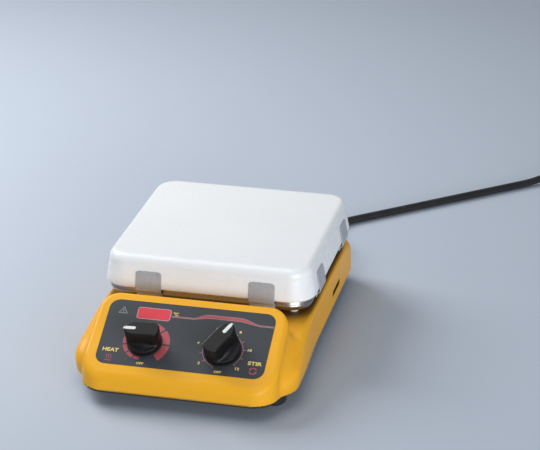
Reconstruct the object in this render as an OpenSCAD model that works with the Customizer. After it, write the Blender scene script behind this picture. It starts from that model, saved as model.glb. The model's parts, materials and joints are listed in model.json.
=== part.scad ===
// Magnetic stirrer with a heated top plate, in millimetres.
// X points right as seen from the front, Y to the back, Z up.
// Heights in this file are above the bench. The drawn parts are then moved so
// that the origin is the centre of the heated face, on the stirring axis.

/* [Top plate] */
// Width and depth of the plate at its lower edge
plate_w = 201; // [200:0.5:202]
// Height of the plate's lower edge above the bench
plate_lower_z = 66; // [65.8:0.1:66.4]
// Height of the heated face above the bench
plate_top_z = 96.5; // [96:0.5:98]
// Corner radius of the plate in plan
plate_corner_r = 24; // [22:1:26]
// Radius of the soft upper edge
plate_edge_r = 9; // [7:1:10]
// Thickness of the plate's skirt
plate_wall = 7; // [6:0.5:7]

/* [Housing] */
// Widest point of the lower body
body_w = 204; // [202:1:206]
// Distance from the stirring axis to the front of the console
console_reach = 210; // [208:1:212]
// Distance from the stirring axis to the back of the housing
rear_reach = 112; // [111:1:114]
// Width of the console
console_w = 182; // [180:1:184]
// Height of the deck under the plate
deck_z = 50; // [49.6:0.1:50]
// Height of the housing's open lower rim
rim_z = 15; // [14.8:0.1:15]
// Wall thickness of the housing
wall = 3; // [2.5:0.5:3]

/* [Control panel] */
// Width of the printed panel sheet
panel_w = 154.6; // [150:0.2:156]
// Length of the panel sheet along the slope
panel_l = 69.6; // [68:0.2:70]
// Slope of the panel from the horizontal, in degrees
panel_tilt = 29.8; // [29.6:0.1:30]
// Distance between the two knob axes
knob_pitch = 72; // [70:1:74]

/* [Knobs] */
// Radius of the knob skirt
knob_r = 16.2; // [15:0.1:17]
// Height of the knob
knob_h = 22.5; // [18:0.5:23]
// Width of the raised grip bar
grip_w = 15; // [12:0.5:15]
// Direction of the heat knob's pointer, in degrees from the panel's right
heat_angle = 183; // [150:1:200]
// Direction of the stirring knob's pointer, in degrees from the panel's right
stir_angle = 60.4; // [40:0.2:80]

/* [Plate clips] */
// Width of one sheet-metal clip
clip_w = 24.4; // [22:0.2:26]
// Distance between the two clips on one side
clip_pitch = 107.6; // [104:0.2:110]

/* [Stirring drive] */
// Length of the magnet carrier
carrier_l = 96; // [90:1:100]
// Radius of the motor shaft
motor_shaft_r = 2.5; // [2.5:0.1:3]

/* [Feet and cord] */
// Radius of one foot
foot_r = 12; // [10:0.5:13]
// Height of one foot
foot_h = 12.5; // [12.5:0.1:12.6]
// Radius of the mains cord
cord_r = 4; // [3.5:0.1:4]
// Length of the straight run of the cord
cord_run = 300; // [200:10:400]

/* [Hidden] */

$fn = 48;
hull_fn = 32; // facets round a hull's own children
gap = 0.1; // small clearance between fixed pieces that meet
run_gap = 0.05; // radial running clearance of a shaft in its bush

// Panel frame: x across the slope, y up the slope, z out of the panel.
panel_y = -167.2;
panel_z = 53.8;
panel_corner_r = 9.5;
panel_sheet_t = 0.8;
panel_recess = 0.9;
knob_row = -8.7; // the knob axes lie this far below the panel's centre
knob_lift = 0.8; // underside of a knob above the panel's face
control_shaft_r = 3;
bush_r = 4.6;
window_w = 30;
window_l = 12;
window_u = -35;
window_v = 22.5;

// Housing outline
console_r = 23; // plan radius of the console's front corners
console_rear_r = 18; // plan radius of the console's rear corners
console_edge_r = 8; // radius of the edges round the panel
flare_front_r = 25;
flare_rear_r = 18;
flare_front_y = -182;
flare_front_z = 46; // height of the lower body's shoulder at the front
body_rear_w = 199.5;

// Fastener positions
deck_post = 80; // pan posts stand at plus and minus this in x and y
foot_x = 80;
foot_front_y = -165;
foot_rear_y = 88;
base_t = 1.5;
base_z = foot_h; // underside of the base plate
base_top = base_z + base_t;
boss_x = 86;
boss_front_y = -140;
boss_rear_y = 68;
self_tap_r = 1.5;
bracket_screw_x = 40;
bracket_screw_y = 42;
vent_h = 5.6; // height of the ventilation slot in each side

// Pan and heater stack
pan_half = 95.5;
pan_z = 58;
pan_top = 64.5;
pan_t = 1;
well_r = 62; // raised centre of the pan, over the drive magnets
well_z = 70;
shield_z = 53;
shield_t = 0.8;
heater_t = 2.4;
plate_t = 7.5;
plate_under = plate_top_z - plate_t;
plate_lower_half = plate_w / 2;

// Drive
carrier_z = 54;
carrier_t = 4;
magnet_t = 8;
stack_z = 24;
stack_h = 16;
stack_w = 58;
rotor_r = 13;
air_gap = 0.5;
bearing_r = 6;
bearing_t = 5;

// Cord path: out of the back, down to the bench, then off to the right.
cord_x = 60;
cord_exit_z = 26;
drop_r = 50; // radius of the two bends that lower the cord to the bench
turn_r = 40; // radius of the bend that turns the cord to the right
turn_deg = 49.2;
cord_z = cord_r + 0.4; // centre of the cord where it lies on the bench
plug_z = 13; // height of the plug's middle, to which the cord rises
plug_rise = 60; // length over which it rises
drop_deg = acos(1 - (cord_exit_z - cord_z) / (2 * drop_r));
drop_len = 2 * drop_r * sin(drop_deg);
cord_drop_y = 153;
turn_y = cord_drop_y + drop_len;
turn_end = [cord_x + turn_r * (1 - cos(turn_deg)), turn_y + turn_r * sin(turn_deg), cord_z];

corner_signs = [[-1, -1], [1, -1], [1, 1], [-1, 1]];

// ---------------------------------------------------------------- helpers

// Places its children on the sloping panel: u across, v up the slope, h out.
module on_panel(u = 0, v = 0, h = 0)
  translate([0, panel_y, panel_z])
    rotate([panel_tilt, 0, 0])
      translate([u, v, h])
        children();

// A flat rectangle with rounded corners, centred on the origin.
module rounded_rect(w, l, r) {
  square([w - 2 * r, l], center = true);
  square([w, l - 2 * r], center = true);
  for (s = corner_signs)
    translate([s[0] * (w / 2 - r), s[1] * (l / 2 - r)])
      circle(r);
}

module rounded_slab(w, l, r, h)
  linear_extrude(h)
    rounded_rect(w, l, r);

// Children at the four corners of a rectangle centred on the origin.
module at_corners(x, y)
  for (s = corner_signs)
    translate([s[0] * x, s[1] * y, 0])
      children();

// A post from z0 to z1 whose top edge is rounded.
module round_post(r, z0, z1, edge)
  translate([0, 0, z0])
    rotate_extrude($fn = hull_fn) {
      square([r, z1 - z0 - edge]);
      square([r - edge, z1 - z0]);
      translate([r - edge, z1 - z0 - edge])
        intersection() {
          circle(edge, $fn = hull_fn);
          square(edge);
        }
    }

// A disc with a fully round rim: the hull of a ring of spheres.
module round_disc(r, edge)
  rotate_extrude($fn = hull_fn)
    intersection() {
      union() {
        translate([r - edge, 0])
          circle(edge, $fn = hull_fn);
        translate([0, -edge])
          square([r - edge, 2 * edge]);
      }
      translate([0, -edge])
        square([r, 2 * edge]);
    }

module ring(r_out, r_in, h)
  difference() {
    cylinder(h = h, r = r_out);
    translate([0, 0, -1])
      cylinder(h = h + 2, r = r_in);
  }

module hex_nut(across, hole_r, h)
  difference() {
    cylinder(h = h, r = across / sqrt(3), $fn = 6);
    translate([0, 0, -1])
      cylinder(h = h + 2, r = hole_r);
  }

// A screw standing up from its head, which sits below z = 0.
module screw(shank_r, length, head_r, head_h) {
  translate([0, 0, -head_h])
    cylinder(h = head_h, r = head_r);
  cylinder(h = length, r = shank_r);
}

// A round rod from point a to point b.
module rod(a, b, r) {
  d = b - a;
  translate(a)
    rotate([0, acos(d[2] / norm(d)), atan2(d[1], d[0])])
      cylinder(h = norm(d), r = r);
}

// A wire along a list of points, with a slightly fatter ball at each bend.
// Each ball is turned so that its seam faces sideways, clear of both rods.
module wire(points, r, ball_r) {
  for (i = [0 : len(points) - 2])
    rod(points[i], points[i + 1], r);
  for (i = [1 : len(points) - 2]) {
    d = points[i + 1] - points[i - 1];
    translate(points[i])
      rotate([0, 0, atan2(d[1], d[0]) + 90])
        sphere(ball_r);
  }
}

// ---------------------------------------------------------------- housing

// The low body: a rounded tray form that runs under the plate. t is its inset.
module flare_form(t) {
  z0 = rim_z - (t > 0 ? 1 : 0);
  hull()
    for (s = [-1, 1]) {
      translate([s * (body_w / 2 - flare_front_r), flare_front_y + flare_front_r])
        round_post(flare_front_r - t, z0, flare_front_z - t, 9 - t);
      translate([s * (body_w / 2 - 1 - flare_front_r), -85])
        round_post(flare_front_r - t, z0, deck_z - t, 9 - t);
      translate([s * (body_rear_w / 2 - flare_rear_r), rear_reach - flare_rear_r])
        round_post(flare_rear_r - t, z0, deck_z - t, 15 - t);
    }
}

// The console: a block with a sloping top and round edges. t is its inset.
module console_form(t) {
  z0 = rim_z - (t > 0 ? 1 : 0);
  edge = console_edge_r - t;
  hull()
    for (s = [-1, 1]) {
      translate([s * (console_w / 2 - console_r), -console_reach + console_r, z0])
        cylinder(h = 10, r = console_r - t, $fn = hull_fn);
      translate([s * (console_w / 2 - console_rear_r), -131, z0])
        cylinder(h = 10, r = console_rear_r - t, $fn = hull_fn);
      on_panel(s * (console_w / 2 - console_r), -28.6, -console_edge_r)
        round_disc(console_r - t, edge);
      on_panel(s * (console_w / 2 - console_rear_r), 31, -console_edge_r)
        round_disc(console_rear_r - t, edge);
    }
}

module housing_bosses() {
  for (s = [-1, 1]) {
    translate([s * boss_x, boss_front_y, base_top + 0.6])
      cylinder(h = 40, r = 4);
    translate([s * boss_x, boss_rear_y, base_top + 0.6])
      cylinder(h = deck_z - base_top - 1.6, r = 4);
  }
  for (s = [-1, 1])
    for (v = [-26, 26])
      on_panel(s * 62, v, -wall - 3)
        cylinder(h = 3.5, r = 3.5);
}

module housing_cuts() {
  on_panel(0, 0, -panel_recess)
    rounded_slab(panel_w + 0.4, panel_l + 0.4, panel_corner_r, 10);
  for (s = [-1, 1])
    on_panel(s * knob_pitch / 2, knob_row, -10)
      cylinder(h = 20, r = bush_r + 0.2);
  on_panel(window_u, window_v, -6)
    cube([window_w + 3, window_l + 3, 14], center = true);
  translate([0, 0, deck_z - 10])
    cylinder(h = 20, r = 58);
  for (s = corner_signs)
    translate([s[0] * deck_post, s[1] * deck_post, deck_z - 10])
      cylinder(h = 20, r = 2.1);
  for (s = [-1, 1]) {
    translate([s * 99, 23, 28])
      cube([20, 36, vent_h], center = true);
    for (y = [boss_front_y, boss_rear_y])
      translate([s * boss_x, y, rim_z - 5])
        cylinder(h = 20, r = self_tap_r);
    for (v = [-26, 26])
      on_panel(s * 62, v, -wall - 5)
        cylinder(h = 5.5, r = self_tap_r);
  }
  translate([cord_x, rear_reach + 10, cord_exit_z])
    rotate([90, 0, 0])
      cylinder(h = 20, r = 7);
  translate([-64, 50, deck_z - 10])
    cylinder(h = 20, r = 5);
}

module housing()
  color([0.93, 0.66, 0.18])
    difference() {
      union() {
        difference() {
          union() {
            flare_form(0);
            console_form(0);
          }
          flare_form(wall);
          console_form(wall);
        }
        housing_bosses();
      }
      housing_cuts();
    }

// Black sheet tray that closes the underside.
module base_outline(inset) {
  offset_w = body_rear_w - 2 * inset;
  translate([0, (-157 + rear_reach - inset) / 2])
    rounded_rect(offset_w, rear_reach - inset + 157, 18);
  translate([0, -150])
    rounded_rect(console_w - 2 * inset, 120 - 2 * inset, 20);
  translate([0, -130])
    rounded_rect(body_w - 2 * inset - 1, 100 - 2 * inset, 22);
}

module base_plate()
  color([0.06, 0.06, 0.07])
    difference() {
      translate([0, 0, base_z])
        linear_extrude(base_t)
          base_outline(2.5);
      for (s = [-1, 1]) {
        for (y = [foot_front_y, foot_rear_y])
          translate([s * foot_x, y, 0])
            cylinder(h = 30, r = 2.1);
        for (y = [boss_front_y, boss_rear_y])
          translate([s * boss_x, y, 0])
            cylinder(h = 30, r = 1.8);
        for (y = [-bracket_screw_y, bracket_screw_y])
          translate([s * bracket_screw_x, y, 0])
            cylinder(h = 30, r = 1.8);
      }
      for (x = [-60 : 12 : -12])
        translate([x, -100, 0])
          cube([4, 24, 40], center = true);
    }

module at_feet()
  for (s = [-1, 1])
    for (y = [foot_front_y, foot_rear_y])
      translate([s * foot_x, y, 0])
        children();

module feet()
  color([0.05, 0.05, 0.05])
    at_feet()
      difference() {
        union() {
          cylinder(h = 2, r1 = foot_r - 1, r2 = foot_r);
          translate([0, 0, 2])
            cylinder(h = foot_h - 2, r = foot_r);
        }
        translate([0, 0, -1])
          cylinder(h = 30, r = 2.2);
        translate([0, 0, -1])
          cylinder(h = 6, r = 5);
      }

module foot_screws()
  color([0.6, 0.6, 0.62])
    at_feet() {
      translate([0, 0, 5])
        screw(2, 13, 4, 2.4);
      translate([0, 0, base_top])
        hex_nut(7, 2.05, 3);
    }

module base_screws()
  color([0.6, 0.6, 0.62])
    for (s = [-1, 1])
      for (y = [boss_front_y, boss_rear_y])
        translate([s * boss_x, y, base_z])
          screw(self_tap_r - 0.05, 14, 3.2, 2);

module vent_screens()
  color([0.72, 0.73, 0.7])
    for (s = [-1, 1])
      difference() {
        translate([s * 94.5, 23, 27])
          cube([0.8, 44, 14], center = true);
        for (i = [-4 : 4])
          for (k = [-1 : 1])
            translate([s * 94.5, 23 + 4.4 * i, 27 + 4 * k])
              rotate([0, 90, 0])
                cylinder(h = 4, r = 1.3, center = true, $fn = 6);
      }

// ---------------------------------------------------------------- controls

module control_panel()
  color([0.17, 0.18, 0.2])
    on_panel(0, 0, -panel_recess)
      difference() {
        rounded_slab(panel_w, panel_l, panel_corner_r - 0.2, panel_sheet_t);
        for (s = [-1, 1])
          translate([s * knob_pitch / 2, knob_row, -1])
            cylinder(h = 4, r = bush_r + 0.2);
        translate([window_u, window_v, 0])
          cube([window_w + 0.2, window_l + 0.2, 4], center = true);
      }

module display_window()
  color([0.75, 0.12, 0.16])
    on_panel(window_u, window_v, -panel_recess)
      translate([-window_w / 2, -window_l / 2, 0])
        cube([window_w, window_l, panel_sheet_t]);

// Three seven-segment digits in one block behind the window.
module display_module()
  color([0.1, 0.02, 0.02])
    on_panel(window_u, window_v, -20.3)
      difference() {
        translate([-14, -5.5, 0])
          cube([28, 11, 18]);
        for (i = [-1 : 1])
          for (v = [-3.6, 0, 3.6])
            translate([i * 9, v, 18])
              cube([4, 0.8, 0.8], center = true);
      }

board_h = -22; // underside of the control board, below the panel's face

module control_board()
  color([0.1, 0.35, 0.18])
    on_panel(0, 0, board_h)
      difference() {
        translate([-70, -31, 0])
          cube([140, 62, 1.6]);
        for (s = [-1, 1])
          for (v = [-26, 26])
            translate([s * 62, v, -1])
              cylinder(h = 4, r = 1.7);
      }

module board_spacers()
  color([0.8, 0.8, 0.78])
    for (s = [-1, 1])
      for (v = [-26, 26])
        on_panel(s * 62, v, board_h + 1.6)
          ring(3.2, 1.7, -board_h - 1.6 - wall - 3);

module board_screws()
  color([0.6, 0.6, 0.62])
    for (s = [-1, 1])
      for (v = [-26, 26])
        on_panel(s * 62, v, board_h)
          screw(self_tap_r - 0.05, -board_h - wall - 1, 3, 1.8);

module potentiometer()
  difference() {
    union() {
      translate([0, 0, -wall - 0.1 - 11])
        cylinder(h = 11, r = 12);
      translate([0, 0, -wall - 0.1])
        cylinder(h = wall + 4.2, r = bush_r);
      for (x = [-5, 0, 5])
        translate([x - 0.6, -16, -wall - 9])
          cube([1.2, 6, 0.8]);
    }
    translate([0, 0, -30])
      cylinder(h = 40, r = control_shaft_r + run_gap);
  }

module at_control(s)
  on_panel(s * knob_pitch / 2, knob_row, 0)
    children();

module heat_potentiometer()
  color([0.35, 0.35, 0.37])
    at_control(-1)
      potentiometer();

module stir_potentiometer()
  color([0.35, 0.35, 0.37])
    at_control(1) {
      potentiometer();
      translate([0, 0, -wall - 0.1 - 16])
        ring(11, control_shaft_r + 0.6, 5);
    }

module control_nuts()
  color([0.7, 0.7, 0.7])
    for (s = [-1, 1])
      at_control(s)
        hex_nut(12, bush_r + gap, 2.4);

module control_shaft(angle)
  rotate([0, 0, angle])
    difference() {
      translate([0, 0, -wall - 9])
        cylinder(h = wall + 9 + knob_h - 5, r = control_shaft_r);
      translate([-control_shaft_r, 1.6, knob_h - 15])
        cube([2 * control_shaft_r, 3, 20]);
    }

// Skirted pointer knob: a round skirt, a grip bar, and a tip that overhangs it.
module pointer_knob(angle)
  translate([0, 0, knob_lift])
    rotate([0, 0, angle])
      difference() {
        union() {
          cylinder(h = 4.5, r1 = knob_r, r2 = knob_r - 0.4);
          translate([0, 0, 4.5])
            cylinder(h = 1.5, r1 = knob_r - 0.4, r2 = knob_r - 1.9);
          intersection() {
            cylinder(h = knob_h - knob_lift, r1 = knob_r, r2 = knob_r - 0.8);
            translate([-knob_r, -grip_w / 2, 0])
              cube([2 * knob_r, grip_w, knob_h]);
          }
          linear_extrude(knob_h - knob_lift)
            polygon([[8, -grip_w / 2], [knob_r + 0.9, -1.2], [knob_r + 0.9, 1.2], [8, grip_w / 2]]);
        }
        translate([0, 0, -1])
          cylinder(h = 4.5, r = 9);
        difference() {
          cylinder(h = knob_h - 5.4, r = control_shaft_r);
          translate([-5, 1.6, knob_h - 15])
            cube([10, 10, 30]);
        }
      }

module heat_knob()
  color([0.06, 0.06, 0.06])
    at_control(-1)
      pointer_knob(heat_angle);

module stir_knob()
  color([0.06, 0.06, 0.06])
    at_control(1)
      pointer_knob(stir_angle);

module heat_shaft()
  color([0.75, 0.75, 0.77])
    at_control(-1)
      control_shaft(heat_angle);

module stir_shaft()
  color([0.75, 0.75, 0.77])
    at_control(1)
      control_shaft(stir_angle);

// ---------------------------------------------------------------- heated top

// One corner of the plate: drafted sides, a small lower round and a soft top edge.
module plate_post() {
  top_r = plate_corner_r - 3.4;
  rotate_extrude($fn = 40)
    hull() {
      square([plate_corner_r - 1, 1]);
      translate([plate_corner_r - 1.5, 1.5])
        circle(1.5, $fn = 16);
      translate([top_r - plate_edge_r, plate_top_z - plate_lower_z - plate_edge_r])
        circle(plate_edge_r, $fn = 40);
      square([top_r - plate_edge_r, plate_top_z - plate_lower_z]);
    }
}

module top_plate() {
  reach = plate_lower_half - plate_corner_r;
  inner_w = plate_w - 2 * plate_wall - 4;
  color([0.94, 0.94, 0.95])
    difference() {
      translate([0, 0, plate_lower_z])
        hull()
          for (s = corner_signs)
            translate([s[0] * reach, s[1] * reach])
              plate_post();
      translate([0, 0, plate_lower_z - 1])
        rounded_slab(inner_w, inner_w, 18, plate_under - plate_lower_z + 1);
      translate([0, 0, plate_lower_z - 1])
        rounded_slab(inner_w + 4, inner_w + 4, 20, 6);
    }
}

// Clips: a leg up the plate's side, a turn under its lower edge, and a
// tab welded down the pan's wall. Two to a side.
module clip_section() {
  t = 0.9;
  leg_top = 83.2;
  foot_z = 62.4;
  low = plate_lower_half + 0.5;
  high = plate_lower_half - 2.35;
  tab = pan_half + 0.05;
  polygon([
    [high, leg_top],
    [low, plate_lower_z + 0.6],
    [low, foot_z + t],
    [tab, foot_z + t],
    [tab, pan_z + 1],
    [tab + t, pan_z + 1],
    [tab + t, foot_z],
    [low + t, foot_z],
    [low + t, plate_lower_z + 0.6],
    [high + t, leg_top]
  ]);
}

module plate_clip() {
  round_r = 3;
  intersection() {
    translate([0, clip_w / 2, 0])
      rotate([90, 0, 0])
        linear_extrude(clip_w)
          clip_section();
    union() {
      translate([85, -clip_w / 2, 50])
        cube([30, clip_w, 33.2 - round_r]);
      translate([85, -clip_w / 2 + round_r, 50])
        cube([30, clip_w - 2 * round_r, 34]);
      for (s = [-1, 1])
        translate([85, s * (clip_w / 2 - round_r), 83.2 - round_r])
          rotate([0, 90, 0])
            cylinder(h = 30, r = round_r);
    }
  }
}

module plate_clips()
  color([0.62, 0.64, 0.67])
    for (side = [0 : 3])
      for (s = [-1, 1])
        rotate([0, 0, 90 * side])
          translate([0, s * clip_pitch / 2, 0])
            plate_clip();

module heater_pan()
  color([0.7, 0.7, 0.7])
    difference() {
      union() {
        difference() {
          translate([0, 0, pan_z])
            rounded_slab(2 * pan_half, 2 * pan_half, plate_corner_r - 4, pan_top - pan_z);
          translate([0, 0, pan_z + pan_t])
            rounded_slab(2 * (pan_half - pan_t), 2 * (pan_half - pan_t), plate_corner_r - 5, 20);
        }
        translate([0, 0, pan_z])
          cylinder(h = well_z - pan_z, r = well_r);
      }
      translate([0, 0, pan_z - 1])
        cylinder(h = well_z - pan_z + 1 - pan_t, r = well_r - pan_t);
      at_corners(deck_post, deck_post)
        translate([0, 0, pan_z - 1])
          cylinder(h = 4, r = 2.1);
      translate([-64, 50, pan_z - 1])
        cylinder(h = 20, r = 4);
      translate([66, 52, pan_z - 1])
        cylinder(h = 20, r = 2.2);
    }

module insulation() {
  w = plate_w - 2 * plate_wall - 6;
  floor_z = pan_z + pan_t;
  color([0.93, 0.9, 0.84])
    difference() {
      translate([0, 0, floor_z])
        rounded_slab(w, w, 16, plate_under - heater_t - floor_z);
      translate([0, 0, floor_z - 1])
        cylinder(h = well_z - floor_z + 1 + gap, r = well_r + 0.5);
      at_corners(deck_post, deck_post)
        translate([0, 0, floor_z - 1])
          cylinder(h = 9, r = 5);
      translate([-64, 50, floor_z - 1])
        cylinder(h = 40, r = 4);
      translate([66, 52, floor_z - 1])
        cylinder(h = 40, r = 2.2);
    }
}

// Flat heating strip in a serpentine under the plate.
module heating_element() {
  runs = 9;
  pitch = 18;
  strip_w = 9;
  length = 152;
  z0 = plate_under - heater_t;
  color([0.45, 0.38, 0.33])
    for (i = [0 : runs - 1]) {
      y = (i - (runs - 1) / 2) * pitch;
      translate([-length / 2, y - strip_w / 2, z0])
        cube([length, strip_w, heater_t]);
      if (i < runs - 1)
        translate([(i % 2 == 0 ? 1 : -1) * (length / 2 - strip_w / 2) - strip_w / 2, y, z0])
          cube([strip_w, pitch, heater_t]);
    }
}

module temperature_probe()
  color([0.8, 0.8, 0.82])
    translate([66, 52 , pan_z - 3])
      cylinder(h = plate_under - heater_t - pan_z + 2.9, r = 2);

module heat_shield()
  color([0.75, 0.76, 0.78])
    translate([0, 0, shield_z])
      difference() {
        rounded_slab(176, 176, 14, shield_t);
        translate([0, 0, -1])
          cylinder(h = 4, r = 60);
        at_corners(deck_post, deck_post)
          translate([0, 0, -1])
            cylinder(h = 4, r = 2.1);
        translate([-64, 50, -1])
          cylinder(h = 4, r = 5);
        translate([66, 52, -1])
          cylinder(h = 4, r = 3);
      }

module lower_spacers()
  color([0.85, 0.85, 0.82])
    at_corners(deck_post, deck_post)
      translate([0, 0, deck_z])
        ring(4, 2.1, shield_z - deck_z);

module upper_spacers()
  color([0.85, 0.85, 0.82])
    at_corners(deck_post, deck_post)
      translate([0, 0, shield_z + shield_t])
        ring(4, 2.1, pan_z - shield_z - shield_t);

module pan_screws()
  color([0.6, 0.6, 0.62])
    at_corners(deck_post, deck_post)
      translate([0, 0, deck_z - wall])
        screw(2, pan_z + pan_t + 4 - deck_z + wall, 4, 2.4);

module pan_nuts()
  color([0.7, 0.7, 0.7])
    at_corners(deck_post, deck_post)
      translate([0, 0, pan_z + pan_t])
        hex_nut(7, 2.05, 3);

// ---------------------------------------------------------------- electrics

board_z = 20; // underside of the power board
board_x = -58;
board_y = -66;

module power_board()
  color([0.12, 0.36, 0.2])
    difference() {
      translate([board_x - 30, board_y - 32, board_z])
        cube([60, 50, 1.6]);
      for (x = [-26, 26])
        for (y = [-28, 14])
          translate([board_x + x, board_y + y, board_z - 1])
            cylinder(h = 4, r = 1.6);
    }

module power_board_spacers()
  color([0.85, 0.85, 0.85])
    for (x = [-26, 26])
      for (y = [-28, 14])
        translate([board_x + x, board_y + y, base_top]) {
          cylinder(h = board_z - base_top, r = 2.8);
          cylinder(h = board_z - base_top + 3, r = 1.5);
        }

module transformer()
  color([0.4, 0.4, 0.43])
    translate([72, -64, base_top]) {
      translate([-22, -17, 0])
        cube([44, 34, 3]);
      translate([-18, -15, 3])
        cube([36, 30, 24]);
      translate([-11, -20, 6])
        cube([22, 40, 18]);
    }

module capacitors()
  color([0.15, 0.2, 0.4])
    for (i = [0 : 2])
      translate([board_x - 18 + 14 * i, board_y + 4, board_z + 1.6])
        cylinder(h = 18, r = 5);

module triac()
  color([0.1, 0.1, 0.1])
    translate([board_x - 5, board_y - 21.2, board_z + 1.6])
      cube([10, 4.4, 16]);

module heat_sink()
  color([0.75, 0.76, 0.78])
    translate([board_x - 20, board_y - 24.4, board_z + 1.6]) {
      cube([40, 3, 22]);
      for (i = [0 : 4])
        translate([2 + 8.5 * i, -5, 0])
          cube([2, 5.2, 22]);
    }

module terminal_block()
  color([0.2, 0.45, 0.3])
    translate([66, 78, base_top])
      difference() {
        translate([-15, -7, 0])
          cube([30, 12, 12]);
        for (i = [-1 : 1])
          translate([10 * i, -1, 6])
            cylinder(h = 20, r = 2.5);
      }

fuse_y = 30;

module fuse_holder()
  color([0.1, 0.1, 0.1])
    translate([74, fuse_y, base_top]) {
      translate([-5, -15, 0])
        cube([10, 30, 4]);
      for (s = [-1, 1])
        translate([0, s * 11.5, 0])
          difference() {
            translate([-4, -2, 0])
              cube([8, 4, 12]);
            translate([0, -5, 9])
              rotate([-90, 0, 0])
                cylinder(h = 10, r = 2.6);
          }
    }

module fuse()
  color([0.85, 0.88, 0.9])
    translate([74, fuse_y - 12, base_top + 9])
      rotate([-90, 0, 0])
        cylinder(h = 24, r = 2.5);

// ---------------------------------------------------------------- stirring drive

bolt_at = stack_w / 2 - 5;

module motor_bracket()
  color([0.6, 0.62, 0.64])
    difference() {
      union() {
        for (s = [-1, 1]) {
          translate([s * bracket_screw_x - 8, -bracket_screw_y - 6, base_top])
            cube([16, 2 * bracket_screw_y + 12, 1.5]);
          translate([s * 33 - 0.8, -20, base_top])
            cube([1.6, 40, 3]);
        }
        translate([-33, -20, base_top + 1.5])
          cube([66, 40, 1.5]);
      }
      for (s = [-1, 1])
        for (y = [-bracket_screw_y, bracket_screw_y])
          translate([s * bracket_screw_x, y, 0])
            cylinder(h = 30, r = 1.8);
      translate([0, 0, base_top - 1])
        cylinder(h = 6, r = bearing_r + 2);
      for (s = corner_signs)
        translate([s[0] * 15, s[1] * bolt_at * 0.6, 0])
          cylinder(h = 30, r = 1.7);
    }

module bracket_screws()
  color([0.6, 0.6, 0.62])
    for (s = [-1, 1])
      for (y = [-bracket_screw_y, bracket_screw_y])
        translate([s * bracket_screw_x, y, base_z]) {
          screw(1.7, 7.4, 3, 1.6);
          translate([0, 0, base_t + 1.5])
            hex_nut(5.5, 1.75, 2.4);
        }

// Laminated stator: a square frame round the rotor, with the coil on one leg.
module stator_core()
  color([0.5, 0.5, 0.52])
    translate([0, 0, stack_z])
      difference() {
        union() {
          translate([-stack_w / 2, -22, 0])
            cube([stack_w, 44, stack_h]);
          translate([-26, 22, 0])
            cube([10, 22, stack_h]);
          translate([16, 22, 0])
            cube([10, 22, stack_h]);
          translate([-26, 38, 0])
            cube([52, 10, stack_h]);
        }
        translate([0, 0, -1])
          cylinder(h = stack_h + 2, r = rotor_r + air_gap);
        for (s = corner_signs)
          translate([s[0] * 15, s[1] * bolt_at * 0.6, -1])
            cylinder(h = stack_h + 2, r = 1.7);
      }

module stator_coil()
  color([0.62, 0.32, 0.14])
    translate([-12, 43, stack_z + stack_h / 2])
      rotate([0, 90, 0])
        difference() {
          cylinder(h = 24, r = 11);
          translate([0, 0, 12])
            cube([stack_h + 0.4, 10.4, 40], center = true);
        }

bearing_low_z = stack_z - 6;
bearing_high_z = stack_z + stack_h + 1;

module bearing_plate()
  difference() {
    union() {
      translate([-20, -18, 0])
        cube([40, 36, 1.5]);
      cylinder(h = bearing_t, r = bearing_r + 2);
    }
    translate([0, 0, -1])
      cylinder(h = bearing_t + 2, r = bearing_r);
    for (s = corner_signs)
      translate([s[0] * 15, s[1] * bolt_at * 0.6, -1])
        cylinder(h = 4, r = 1.7);
  }

module bearing_plates()
  color([0.7, 0.7, 0.72]) {
    translate([0, 0, stack_z])
      mirror([0, 0, 1])
        bearing_plate();
    translate([0, 0, stack_z + stack_h])
      bearing_plate();
  }

module motor_bearings()
  color([0.72, 0.55, 0.3]) {
    translate([0, 0, stack_z - bearing_t])
      ring(bearing_r - 0.02, motor_shaft_r + run_gap, bearing_t - 0.2);
    translate([0, 0, stack_z + stack_h + 0.2])
      ring(bearing_r - 0.02, motor_shaft_r + run_gap, bearing_t - 0.2);
  }

module motor_bolts()
  color([0.6, 0.6, 0.62])
    for (s = corner_signs)
      translate([s[0] * 15, s[1] * bolt_at * 0.6, base_top]) {
        cylinder(h = stack_z + stack_h + 1.5 + 2.4 - base_top, r = 1.6);
        translate([0, 0, stack_z + stack_h + 1.5 - base_top])
          hex_nut(5.5, 1.65, 2.4);
        translate([0, 0, 3])
          ring(2.6, 1.65, stack_z - 1.5 - base_top - 3);
      }

module rotor()
  color([0.45, 0.45, 0.48])
    translate([0, 0, stack_z + 0.5])
      ring(rotor_r, motor_shaft_r, stack_h - 1);

module motor_shaft()
  color([0.8, 0.8, 0.82])
    translate([0, 0, base_top + 2.4])
      cylinder(h = carrier_z + carrier_t + 4 - base_top - 2.4, r = motor_shaft_r);

module magnet_carrier()
  color([0.7, 0.72, 0.74])
    difference() {
      union() {
        translate([-carrier_l / 2, -11, carrier_z])
          cube([carrier_l, 22, carrier_t]);
        translate([0, 0, carrier_z - 6])
          cylinder(h = carrier_t + 10, r = 7);
      }
      translate([0, 0, carrier_z - 10])
        cylinder(h = 40, r = motor_shaft_r);
    }

module drive_magnets()
  color([0.2, 0.2, 0.22])
    for (s = [-1, 1])
      translate([s * (carrier_l / 2 - 12) - 11, -11, carrier_z + carrier_t])
        cube([22, 22, magnet_t]);

// ---------------------------------------------------------------- wiring

module heater_leads()
  color([0.85, 0.82, 0.75])
    for (i = [-1, 1])
      wire([
        [-64 + 1.8 * i, 50, plate_under - heater_t - 0.1],
        [-64 + 1.8 * i, 50, 36],
        [-76 + 2 * i, 30, 34],
        [-76 + 2 * i, -56, 34],
        [-76 + 2 * i, -56, board_z + 1.65]
      ], 0.8, 1);

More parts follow.
